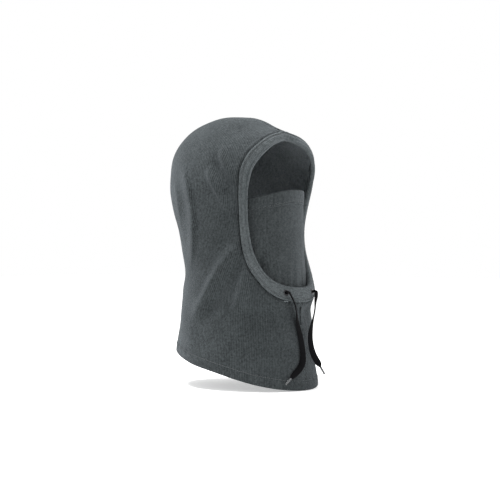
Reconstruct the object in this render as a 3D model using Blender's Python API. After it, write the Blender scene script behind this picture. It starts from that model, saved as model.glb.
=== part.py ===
"""Fleece balaclava hood with an inner face mask and a drawcord casing.

Two side panels meet in a centre seam over the crown and down the nape, and in a short
seam under the chin.  A folded casing runs round the face opening and holds a flat cord,
whose ends leave through two eyelets at the chin.  The mask hangs inside the opening.

Sizes are millimetres in the tables and metres in Blender.  The face looks toward -Y,
the wearer's right is -X.  Heights in the tables are above a level 10 mm below the hem's
lowest point.  The world origin is where the top of the head carries the hood, inside the crown.
"""
import math

import bmesh
import bpy
import numpy as np
from mathutils import Vector

MM = 0.001

# ---- driving dimensions, millimetres --------------------------------------------------
CROWN_Z = 400.0            # top of the crown, 390 mm above the hem's lowest point
CROWN_Y = 16.0             # the crown's highest point, front to back
DOME_Z = 290.0             # the head is widest here, and the dome starts
FABRIC = 2.2               # fleece thickness
GAP = 0.3                  # clearance between touching pieces
HEM_SLOPE = 0.241          # the hem rises toward the back
HEM_FRONT = (-107.0, 10.0)  # y and z of the hem at the centre front
HEM_LINE = 13.0            # stitch line above the hem's edge
THREAD = 0.45              # radius of a stitch line
OVERLOCK = (5.0, 1.6)      # width and thickness of an overlocked seam allowance

# outline of the hood at its heights: height, front, back, half width, widest point
PROFILE = np.array([
    (-10, -108, 122, 90.5, 2), (20, -106, 121, 89.5, 2), (62, -98, 117.5, 87, 3),
    (104, -95.5, 106, 85, 3), (120, -94.5, 103, 84.5, 3), (133, -98.5, 101, 84.8, 3),
    (150, -101, 99, 86, 4),
    (174, -97, 92.5, 88.5, 5), (205, -86, 97, 92, 8), (235, -83, 102.5, 95.5, 12),
    (265, -90, 113.5, 98, 16), (290, -102, 120.5, 99, 18), (320, -121.4, 120.5, 99, 18),
    (340, -130.7, 120.5, 99, 18), (355, -119, 120.5, 99, 18), (365, -109, 120.5, 99, 18),
    (375, -96.6, 120.5, 99, 18), (400, -90, 120.5, 99, 18)], float)

# the seam that joins casing and panels, side view, crown to chin: (y, z)
SEAM = [(-63, 374.5), (-67, 370.5), (-67.5, 364), (-66, 355), (-60.5, 340), (-54, 320),
        (-50.5, 295), (-48, 275), (-46.5, 250), (-47, 225), (-50, 203), (-57.5, 181),
        (-68, 163), (-78, 148.5), (-87.5, 138.5), (-95, 133.5), (-98, 131.5)]
# the casing's folded inner edge, crown to chin, one point beside each seam point
RIM = [(0, -69, 361.3), (22, -74, 357), (34, -75.3, 353), (47, -74.5, 345),
       (60, -71, 333), (68.7, -65, 317), (69.3, -58, 294), (67, -54.2, 275),
       (64, -52.2, 250), (61.5, -54, 225), (59, -58, 204), (54.5, -64.5, 186),
       (48, -71.5, 172), (40, -79, 162.5), (29, -87.5, 156.5), (17, -92, 154),
       (0, -94, 153.2)]

CASING_LEVELS = (-2.8, -1.2, 1.8, 3.4)   # inner leaf, tunnel floor and roof, outer leaf
EYELET_X = 28.8
EYELET = {"bore": 2.4, "barrel": 3.0, "flange": 4.4, "rim": 0.7}
WASHER = {"bore": 3.3, "outer": 4.7, "thick": 0.5}
LACE_WIDTH, LACE_THICK = 9.0, 1.4
AGLET_LENGTH, AGLET_RADIUS = 12.0, 1.5

MASK = {"half_width": 65.0, "centre_y": -8.0, "thick": 1.8, "hem": 18.0, "hem_thick": 3.4,
        "top_front": 290.0, "top_drop": 16.0}
MASK_FRONT = [(130, -90), (154, -88), (180, -88), (200, -88), (240, -86.5), (300, -86)]

# free ends of the cord below the eyelets, chosen by hand: (x, y, z, width, twist degrees)
RIGHT_LACE = [(-31.2, -98.2, 147.6, 4.2, 10), (-31.6, -101.2, 146.4, 4.6, 20),
              (-30.2, -103.4, 141.6, 5.6, 32), (-26, -103.6, 135.8, 7.4, 38),
              (-20.4, -102.6, 128.4, 8.8, 40), (-15.4, -100.8, 118.6, 9, 34),
              (-12.2, -99.8, 108.4, 9, 20), (-9.6, -99.6, 99.6, 9, 8),
              (-7.2, -99.9, 91.4, 9, 0), (-4.6, -100.5, 81.4, 9, -8),
              (-3.2, -101.6, 70.6, 9, -16), (-3.8, -103.4, 58.4, 9, -26),
              (-7, -105.2, 48.6, 9, -34), (-14, -106, 41, 9, -38),
              (-22.6, -105.4, 34.8, 8.8, -38), (-28.8, -104.4, 30.2, 6.6, -38),
              (-31.6, -103.8, 27.8, 3.2, -38)]
LEFT_LACE = [(31.2, -98.2, 147.6, 4.2, -14), (30.6, -101, 145.8, 4.8, -14),
             (27.8, -102.8, 139.4, 6.4, -4), (26, -102.8, 130.4, 7.8, 24),
             (24.8, -102.4, 120.4, 8.8, 38), (22.4, -101.8, 109.4, 9, 30),
             (19.8, -101.4, 99.4, 9, 14), (16.8, -101.8, 90.6, 9, 0),
             (14.4, -102.8, 80.6, 9, -12), (14.2, -104.4, 70, 9, -20),
             (15.4, -106.4, 60.6, 9, -30), (18.2, -109, 52, 9, -38),
             (22, -111.4, 45, 8.2, -44), (24.2, -112.8, 40.6, 3.2, -46)]

# ---- counts ---------------------------------------------------------------------------
SEAM_STEPS, NECK_STEPS, PANEL_COLUMNS = 20, 7, 20
CASING_STEPS = 30
MASK_COLUMNS, MASK_ROWS = 20, 6


# ---- the shape of the hood ------------------------------------------------------------
def smooth_table(value, keys, column):
    """Cubic interpolation of one column of a table, keyed on its first column."""
    table = np.asarray(keys, float)
    place, level = table[:, 0], table[:, column]
    step = np.diff(place)
    rise = np.diff(level) / step
    slope = np.zeros(len(place))
    slope[0] = rise[0]
    slope[1:-1] = (rise[:-1] * step[1:] + rise[1:] * step[:-1]) / (step[:-1] + step[1:])
    value = np.asarray(value, float)
    i = np.clip(np.searchsorted(place, value) - 1, 0, len(place) - 2)
    t = np.clip((value - place[i]) / step[i], 0, 1)
    return ((2 * t**3 - 3 * t**2 + 1) * level[i] + (t**3 - 2 * t**2 + t) * step[i] * slope[i]
            + (3 * t**2 - 2 * t**3) * level[i + 1] + (t**3 - t**2) * step[i] * slope[i + 1])


def outline(z):
    """Front, back, half width and widest place of the hood at height z."""
    z = np.asarray(z, float)
    front, back, half, mid = (smooth_table(z, PROFILE, c) for c in (1, 2, 3, 4))
    rise = np.clip((z - DOME_Z) / (CROWN_Z - DOME_Z), 0, 1)
    shrink = np.sqrt(np.clip(1 - rise**2, 0, 1))
    front = CROWN_Y + (front - CROWN_Y) * shrink**0.80
    back = CROWN_Y + (back - CROWN_Y) * shrink**0.84
    return front, back, half * shrink**0.88, CROWN_Y + (mid - CROWN_Y) * shrink


def side_x(y, z):
    """Half width of the hood at a point of its side view."""
    front, back, half, mid = outline(z)
    y = np.asarray(y, float)
    reach = np.maximum(np.where(y < mid, mid - front, back - mid), 1e-6)
    return half * np.sqrt(np.clip(1 - ((y - mid) / reach)**2, 0, 1))


def spline(points, count):
    """Catmull-Rom curve through the points, mirrored in X beyond both ends."""
    p = np.asarray(points, float)
    if p.shape[1] == 3:
        flip = np.array([-1, 1, 1])
        p = np.vstack([p[1] * flip, p, p[-2] * flip])
    else:
        p = np.vstack([2 * p[0] - p[1], p, 2 * p[-1] - p[-2]])
    out = []
    for u in np.linspace(0, len(p) - 3, count):
        i = min(int(u), len(p) - 4)
        t = u - i
        a, b, c, d = p[i:i + 4]
        out.append(0.5 * (2 * b + (c - a) * t + (2 * a - 5 * b + 4 * c - d) * t**2
                          + (3 * b - a - 3 * c + d) * t**3))
    return np.array(out)


def even(points, count, keep=None):
    """The same line as count points at even spacing, or at the given fractions."""
    run = np.concatenate([[0], np.cumsum(np.linalg.norm(np.diff(points, axis=0), axis=1))])
    at = (np.linspace(0, 1, count) if keep is None else np.asarray(keep)) * run[-1]
    return np.stack([np.interp(at, run, points[:, k]) for k in range(points.shape[1])], 1)


def hem_z(y):
    return HEM_FRONT[1] + HEM_SLOPE * (np.asarray(y, float) - HEM_FRONT[0])


def seam_line():
    """Seam and rim, crown to chin, on the +X side, as paired points."""
    side = spline(SEAM, 401)
    side[0, 0], side[-1, 0] = outline(side[0, 1])[0], outline(side[-1, 1])[0]
    seam = np.column_stack([side_x(side[:, 0], side[:, 1]), side])
    seam[0, 0] = seam[-1, 0] = 0
    rim = spline(RIM, 401)
    run = np.concatenate([[0], np.cumsum(np.linalg.norm(np.diff(seam + rim, axis=0), axis=1))])
    at = np.linspace(0, run[-1], 401)
    pair = np.hstack([seam, rim])
    pair = np.stack([np.interp(at, run, pair[:, k]) for k in range(6)], 1)
    return pair[:, :3], pair[:, 3:]


def centre_line():
    """The hood's centre profile from the opening's top over the crown to the hem."""
    top = SEAM[0][1]
    first = math.asin((top - DOME_Z) / (CROWN_Z - DOME_Z))
    rise = np.linspace(first, math.pi / 2, 60)
    z = DOME_Z + (CROWN_Z - DOME_Z) * np.sin(rise)
    front = np.column_stack([outline(z)[0], z])
    fall = np.linspace(math.pi / 2, 0, 90)
    z = DOME_Z + (CROWN_Z - DOME_Z) * np.sin(fall)
    back = np.column_stack([outline(z)[1], z])
    z = np.linspace(DOME_Z, 40, 200)
    nape = np.column_stack([outline(z)[1], z])
    nape = nape[nape[:, 1] > hem_z(nape[:, 0])]
    end_z = float(hem_z(nape[-1, 0]))
    nape = np.vstack([nape, (outline(end_z)[1], end_z)])
    return np.vstack([front, back[1:], nape[1:]])


def chin_line():
    """The centre front from the chin seam down to the hem, as (y, z)."""
    foot = float(hem_z(outline(HEM_FRONT[1])[0]))
    z = np.linspace(SEAM[-1][1], foot, 60)
    return np.column_stack([outline(z)[0], z])


def panel_rows():
    """Both ends of each row of the panel, as (y, z): on its front and on its back edge."""
    seam, _ = seam_line()
    face = even(seam, SEAM_STEPS + 1)[:, 1:]
    neck = even(chin_line(), NECK_STEPS + 1)[1:]
    starts = np.vstack([face, neck])
    seam_share = np.linspace(0, 1, SEAM_STEPS + 1)
    # how far the rows have come along the back when they are this far along the front
    back_share = np.concatenate([
        np.interp(seam_share, [0, 0.36, 0.8, 1], [0, 0.45, 0.72, 0.8]),
        np.linspace(0.8, 1, NECK_STEPS + 1)[1:]])
    ends = even(centre_line(), 0, keep=back_share)
    return starts, ends


def panel_grid():
    """Outer surface of the +X panel: rows from crown to hem, columns front to back."""
    starts, ends = panel_rows()
    rows = []
    for start, end in zip(starts[1:], ends[1:]):
        turn = (1 - np.cos(np.linspace(0, math.pi, 241))) / 2
        side = start + (end - start) * turn[:, None]
        line = np.column_stack([side_x(side[:, 0], side[:, 1]), side])
        line[-1, 0] = 0
        rows.append(even(line, PANEL_COLUMNS + 1))
    grid = np.array(rows)
    grid[:, :, 0] = np.maximum(grid[:, :, 0], GAP / 2)
    pole = np.array([GAP / 2, starts[0][0], starts[0][1]])
    return pole, grid


def unit(v):
    return v / np.maximum(np.linalg.norm(v, axis=-1, keepdims=True), 1e-12)


def grid_normals(grid, outward_from):
    """Normals of a grid whose lines end square to the X = 0 plane where they reach it."""
    flip = np.array([-1, 1, 1])
    before = np.where(np.abs(grid[:, :1, :1]) < GAP, grid[:, 1:2] * flip,
                      2 * grid[:, :1] - grid[:, 1:2])
    after = np.where(np.abs(grid[:, -1:, :1]) < GAP, grid[:, -2:-1] * flip,
                     2 * grid[:, -1:] - grid[:, -2:-1])
    wide = np.concatenate([before, grid, after], axis=1)
    across = wide[:, 2:] - wide[:, :-2]
    tall = np.concatenate([2 * grid[:1] - grid[1:2], grid, 2 * grid[-1:] - grid[-2:-1]])
    along = tall[2:] - tall[:-2]
    normal = unit(np.cross(across, along))
    away = np.einsum("ijk,ijk->ij", normal, grid - outward_from)
    return normal * np.sign(away)[:, :, None]


# ---- Blender helpers ------------------------------------------------------------------
def clear_scene():
    for thing in list(bpy.data.objects):
        bpy.data.objects.remove(thing, do_unlink=True)


def make_material(name, colour, roughness, metallic=0.0, alpha=1.0):
    material = bpy.data.materials.new(name)
    material.use_nodes = True
    shader = material.node_tree.nodes["Principled BSDF"]
    shader.inputs["Base Color"].default_value = (*colour, 1)
    shader.inputs["Roughness"].default_value = roughness
    shader.inputs["Metallic"].default_value = metallic
    shader.inputs["Alpha"].default_value = alpha
    material.diffuse_color = (*colour, alpha)
    return material


def put(name, data, material, parent, collection):
    """An object holding the data, whose coordinates are measured from its parent."""
    thing = bpy.data.objects.new(name, data)
    data.materials.append(material)
    thing.parent = parent
    collection.objects.link(thing)
    return thing


def mesh_from(name, points, faces):
    """A closed mesh in metres with its faces turned outward."""
    mesh = bpy.data.meshes.new(name)
    mesh.from_pydata([tuple(float(c) * MM for c in p) for p in points], [], faces)
    work = bmesh.new()
    work.from_mesh(mesh)
    bmesh.ops.remove_doubles(work, verts=work.verts, dist=1e-6)
    bmesh.ops.recalc_face_normals(work, faces=work.faces)
    work.to_mesh(mesh)
    work.free()
    mesh.update()
    return mesh


def loft(name, rings, closed=False):
    """A closed solid through rings of points, capped at both ends unless it is a loop."""
    rings = np.asarray(rings, float)
    count, size = rings.shape[:2]
    faces = []
    for i in range(count if closed else count - 1):
        a, b = i * size, (i + 1) % count * size
        faces += [(a + k, a + (k + 1) % size, b + (k + 1) % size, b + k)
                  for k in range(size)]
    if not closed:
        faces += [tuple(range(size)), tuple((count - 1) * size + k for k in range(size))]
    return mesh_from(name, rings.reshape(-1, 3), faces)


def shell(name, grid, normals, thick, pole=None, pole_normal=None):
    """A sheet with the grid as its outer face and its inner face one thickness below."""
    inner = grid - normals * thick
    near_centre = np.abs(grid[:, :, 0]) < GAP
    inner[:, :, 0] = np.where(near_centre, grid[:, :, 0], inner[:, :, 0])
    rows, columns = grid.shape[:2]
    half = rows * columns
    points = np.vstack([grid.reshape(-1, 3), inner.reshape(-1, 3)])
    at = np.arange(half).reshape(rows, columns)
    faces = [(at[i, j], at[i, j + 1], at[i + 1, j + 1], at[i + 1, j])
             for i in range(rows - 1) for j in range(columns - 1)]
    faces += [tuple(int(k) + half for k in face) for face in faces]
    edge = list(at[:, 0]) + list(at[-1, 1:]) + list(at[-2::-1, -1])
    if pole is None:
        edge += list(at[0, -2:0:-1])
        edge.append(edge[0])
    else:
        points = np.vstack([points, pole, pole - np.asarray(pole_normal) * thick])
        top, low = 2 * half, 2 * half + 1
        faces += [(top, at[0, j], at[0, j + 1]) for j in range(columns - 1)]
        faces += [(low, at[0, j] + half, at[0, j + 1] + half) for j in range(columns - 1)]
        faces += [(top, at[0, 0], at[0, 0] + half, low),
                  (top, at[0, -1], at[0, -1] + half, low)]
    faces += [(a, b, b + half, a + half) for a, b in zip(edge[:-1], edge[1:])]
    return mesh_from(name, points, [tuple(int(k) for k in face) for face in faces])


def mirrored(grid):
    return grid * np.array([-1, 1, 1])


def thread_curve(name, points, radius, closed=False):
    """A round thread through the points, as a bevelled curve."""
    curve = bpy.data.curves.new(name, "CURVE")
    curve.dimensions = "3D"
    line = curve.splines.new("POLY")
    line.points.add(len(points) - 1)
    for spot, place in zip(line.points, points):
        spot.co = (*(float(c) * MM for c in place), 1)
    line.use_cyclic_u = closed
    curve.bevel_depth = radius * MM
    curve.bevel_resolution = 0
    curve.use_fill_caps = not closed
    return curve


def flat_ring(centre, wide, thick, width, thickness):
    """Rounded oblong cross section of a flat cord, eight points."""
    shape = [(-0.5, 0), (-0.42, 0.5), (0, 0.5), (0.42, 0.5),
             (0.5, 0), (0.42, -0.5), (0, -0.5), (-0.42, -0.5)]
    return [centre + wide * a * width + thick * b * thickness for a, b in shape]


def ribbon_rings(route):
    """Cross sections of a free lace along (x, y, z, width, twist)."""
    route = spline_open(route, 3)
    rings = []
    for i, (x, y, z, width, twist) in enumerate(route):
        ahead = route[min(i + 1, len(route) - 1)][:3] - route[max(i - 1, 0)][:3]
        tangent = unit(ahead)
        wide = np.array([math.cos(math.radians(twist)), math.sin(math.radians(twist)), 0])
        wide = unit(wide - tangent * wide.dot(tangent))
        thickness = LACE_THICK * (LACE_WIDTH / width)**0.45
        rings.append(flat_ring(np.array([x, y, z]), wide, np.cross(tangent, wide),
                               width, thickness))
    return rings


def spline_open(points, per_span):
    p = np.asarray(points, float)
    p = np.vstack([2 * p[0] - p[1], p, 2 * p[-1] - p[-2]])
    out = []
    for i in range(len(p) - 3):
        a, b, c, d = p[i:i + 4]
        for t in np.arange(per_span) / per_span:
            out.append(0.5 * (2 * b + (c - a) * t + (2 * a - 5 * b + 4 * c - d) * t**2
                              + (3 * b - a - 3 * c + d) * t**3))
    out.append(p[-2])
    return np.array(out)


def lathe(name, outline_rz, centre, axis, steps=20):
    """A ring turned about an axis; outline_rz holds (radius, height) pairs."""
    axis = unit(np.asarray(axis, float))
    side = unit(np.cross(axis, (0, 0, 1)))
    up = np.cross(side, axis)
    rings = []
    for a in np.arange(steps) * 2 * math.pi / steps:
        spoke = side * math.cos(a) + up * math.sin(a)
        rings.append([centre + spoke * r + axis * h for r, h in outline_rz])
    return loft(name, rings, closed=True)


# ---- casing ---------------------------------------------------------------------------
def casing_frames(count):
    """Seam point, direction across the band, outward normal and width, crown to chin."""
    seam, rim = seam_line()
    keep = np.linspace(0, 400, count).round().astype(int)
    both = seam + rim
    flip = np.array([-1, 1, 1])
    ahead = np.vstack([both[1:], both[-2] * flip]) - np.vstack([both[1] * flip, both[:-1]])
    across = unit(rim - seam)
    along = unit(ahead)
    out = unit(np.cross(across, along))
    away = seam - np.array([0, 30, 250])
    out *= np.sign(np.sum(out * away, axis=1))[:, None]
    out[0, 0] = out[-1, 0] = 0
    width = np.linalg.norm(rim - seam, axis=1)
    return seam[keep], across[keep], unit(out[keep]), width[keep], along[keep]


def panel_turn(seam, across):
    """Tangent of the angle by which the casing turns in from the panel."""
    lift = []
    for (x, y, z), band in zip(seam, across):
        e = 0.5
        y_in, z_in = y + (1.5 if abs(x) < 1 else 0), z
        base = max(float(side_x(y_in, z_in)), 1.0)
        dy = (float(side_x(y_in + e, z)) - base) / e
        dz = (float(side_x(y_in, z + e)) - float(side_x(y_in, z - e))) / (2 * e)
        normal = unit(np.array([1.0, -dy, -dz]))
        sine = np.clip(-normal.dot(band), 0, 0.9)
        lift.append(sine / math.sqrt(1 - sine**2))
    return np.convolve(np.pad(lift, 2, mode="edge"), np.ones(5) / 5, mode="valid")


def casing_section(width, turn):
    """U-shaped cross section: (distance from the seam, height), open at the seam side."""
    floor, tunnel_low, tunnel_high, roof = CASING_LEVELS
    base = GAP
    inner_base = GAP + 0.4 + (FABRIC + 0.9) * turn
    return [(base, roof - 0.5), (0.3 * width, roof), (0.6 * width, roof),
            (width - 2, roof - 0.4), (width - 0.5, tunnel_high), (width, 0.3),
            (width - 0.5, tunnel_low), (width - 2, floor + 0.2), (width - 4, floor),
            (inner_base, floor), (inner_base, tunnel_low), (width - 3, tunnel_low),
            (width - 2.1, 0.3), (width - 3, tunnel_high), (0.4 * width, tunnel_high),
            (base, tunnel_high)]


def casing_mesh():
    seam, across, out, width, _ = casing_frames(CASING_STEPS + 1)
    turn = panel_turn(seam, across)
    half = [[s + a * u + n * v for u, v in casing_section(w, k)]
            for s, a, n, w, k in zip(seam, across, out, width, turn)]
    half = np.array(half)
    half[0, :, 0] = half[-1, :, 0] = 0
    loop = np.concatenate([half, mirrored(half[-2:0:-1])])
    return loft("face_casing", loop, closed=True)


def eyelet_frame(side):
    """Centre on the band, outward normal, along and across directions of an eyelet."""
    seam, across, out, width, along = casing_frames(401)
    middle = seam + across * (width / 2)[:, None]
    late = np.arange(200, 401)
    i = late[np.argmin(np.abs(middle[late, 0] - EYELET_X))]
    flip = np.array([side, 1, 1])
    return middle[i] * flip, out[i] * flip, along[i] * flip, across[i] * flip


def punch_casing(casing, cutters):
    """Two round holes through the casing's outer leaf, cut with boolean cylinders."""
    for side, word in ((-1, "right"), (1, "left")):
        centre, out, _, _ = eyelet_frame(side)
        mesh = bpy.data.meshes.new("eyelet_hole_cutter_" + word)
        work = bmesh.new()
        bmesh.ops.create_cone(work, cap_ends=True, segments=20,
                              radius1=WASHER["bore"] * MM, radius2=WASHER["bore"] * MM,
                              depth=5 * MM)
        work.to_mesh(mesh)
        work.free()
        cutter = bpy.data.objects.new("eyelet_hole_cutter_" + word, mesh)
        cutter.parent = casing.parent
        cutter.location = Vector((centre + out * 3.0) * MM)
        cutter.rotation_mode = "QUATERNION"
        cutter.rotation_quaternion = Vector(out).to_track_quat("Z", "Y")
        cutter.display_type = "WIRE"
        cutter.hide_render = True
        cutters.objects.link(cutter)
        hole = casing.modifiers.new("eyelet_hole_" + word, "BOOLEAN")
        hole.object = cutter
        hole.operation = "DIFFERENCE"
        hole.solver = "EXACT"


def casing_cord_mesh():
    """The flat cord in the tunnel, with both ends turned out through the eyelets."""
    seam, across, out, width, along = casing_frames(401)
    middle = seam + across * (np.minimum(width - 2.4 - LACE_WIDTH / 2, width / 2)
                              + 0.0)[:, None]
    centre, normal, run, band = eyelet_frame(1)
    path_x = seam[:, 0] + across[:, 0] * width / 2
    last = [i for i in range(200, 401) if path_x[i] > EYELET_X + 9][-1]
    rings = []
    for i in np.linspace(0, last, 34).round().astype(int):
        rings.append(flat_ring(middle[i], across[i], out[i], LACE_WIDTH, LACE_THICK))
    travel = unit(run)
    for back, rise, lean, width_now, thick in (
            (6.0, 0.0, 0, 6.8, 1.4), (3.2, 0.0, 8, 4.2, 1.4), (1.2, 0.2, 40, 3.4, 1.5),
            (0.2, 1.3, 75, 3.2, 1.9), (0.0, 3.0, 90, 3.4, 2.1), (0.0, 4.6, 90, 3.6, 2.2),
            (0.0, 5.6, 90, 3.6, 2.2)):
        a = math.radians(lean)
        thick_way = normal * math.cos(a) - travel * math.sin(a)
        rings.append(flat_ring(centre - travel * back + normal * rise, band, thick_way,
                               width_now, thick))
    half = np.array(rings)
    half[0, :, 0] = 0
    whole = np.concatenate([mirrored(half[:0:-1]), half])
    return loft("casing_cord", whole)


# ---- mask -----------------------------------------------------------------------------
def mask_top(angle):
    return MASK["top_front"] - MASK["top_drop"] * abs(math.sin(angle))**1.6


def mask_tube(angle, z):
    front = float(smooth_table(z, MASK_FRONT, 1))
    return np.array([MASK["half_width"] * math.sin(angle),
                     MASK["centre_y"] + (front - MASK["centre_y"]) * math.cos(angle), z])


def mask_foot(angle):
    """Where the mask is sewn in behind the casing's seam."""
    seam, across, out, _, _ = casing_frames(401)
    share = abs(angle) / (math.pi / 2)
    i = int(round(400 - 165 * share))
    spot = seam[i] + across[i] * 1.0 - out[i] * (2.2 - CASING_LEVELS[0] + 4.0 * share)
    return spot * np.array([1 if angle >= 0 else -1, 1, 1])


def mask_point(angle, z):
    foot = mask_foot(angle)
    top = mask_top(angle)
    up = np.clip((z - foot[2]) / (top - foot[2]), 0, 1)
    pull = foot - mask_tube(angle, foot[2])
    return mask_tube(angle, z) + pull * (1 - up)**6


def mask_grid(low, high, rows):
    """Grid between two height functions, columns from the right ear to the left."""
    grid = []
    for r in range(rows + 1):
        line = []
        for angle in np.linspace(-math.pi / 2, math.pi / 2, MASK_COLUMNS + 1):
            z = low(angle) + (high(angle) - low(angle)) * r / rows
            line.append(mask_point(angle, z))
        grid.append(line)
    return np.array(grid)


def mask_normals(grid):
    wide = np.concatenate([2 * grid[:, :1] - grid[:, 1:2], grid,
                           2 * grid[:, -1:] - grid[:, -2:-1]], axis=1)
    tall = np.concatenate([2 * grid[:1] - grid[1:2], grid, 2 * grid[-1:] - grid[-2:-1]])
    normal = unit(np.cross(wide[:, 2:] - wide[:, :-2], tall[2:] - tall[:-2]))
    return normal


# ---- build ----------------------------------------------------------------------------
def overlock_mesh(name, line):
    """A flat ridge inside the hood along a line of its centre profile (y, z)."""
    wide, thick = OVERLOCK
    line = np.asarray(line)
    ahead = np.gradient(line, axis=0)
    normal = unit(np.column_stack([np.zeros(len(line)), ahead[:, 1], -ahead[:, 0]]))
    middle = np.column_stack([np.zeros(len(line)), line])
    inward = np.array([0, 5, 230]) - middle
    normal *= np.sign(np.sum(normal * inward, axis=1))[:, None]
    depth = FABRIC + GAP + 0.25
    rings = []
    for spot, way in zip(middle, normal):
        rings.append([spot + way * (depth + b * thick) + np.array([a * wide, 0, 0])
                      for a, b in ((-0.5, 0), (0.5, 0), (0.5, 0.7), (0.3, 1),
                                   (-0.3, 1), (-0.5, 0.7))])
    return loft(name, rings)


def hem_stitch_points():
    """Stitch line round the neck, one hem depth above the edge, just off the fabric."""
    points = []
    for a in np.linspace(0, 2 * math.pi, 56, endpoint=False):
        y = z = 0.0
        for _ in range(12):
            front, back, half, mid = (float(v) for v in outline(z))
            reach = (mid - front) if math.cos(a) > 0 else (back - mid)
            y = mid - reach * math.cos(a)
            z = float(hem_z(y)) + HEM_LINE
        n = unit(np.array([math.sin(a) / half, -math.cos(a) / reach, 0.0]))
        points.append(np.array([half * math.sin(a), y, z]) + n * (THREAD + GAP + 0.15))
    return points


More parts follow.
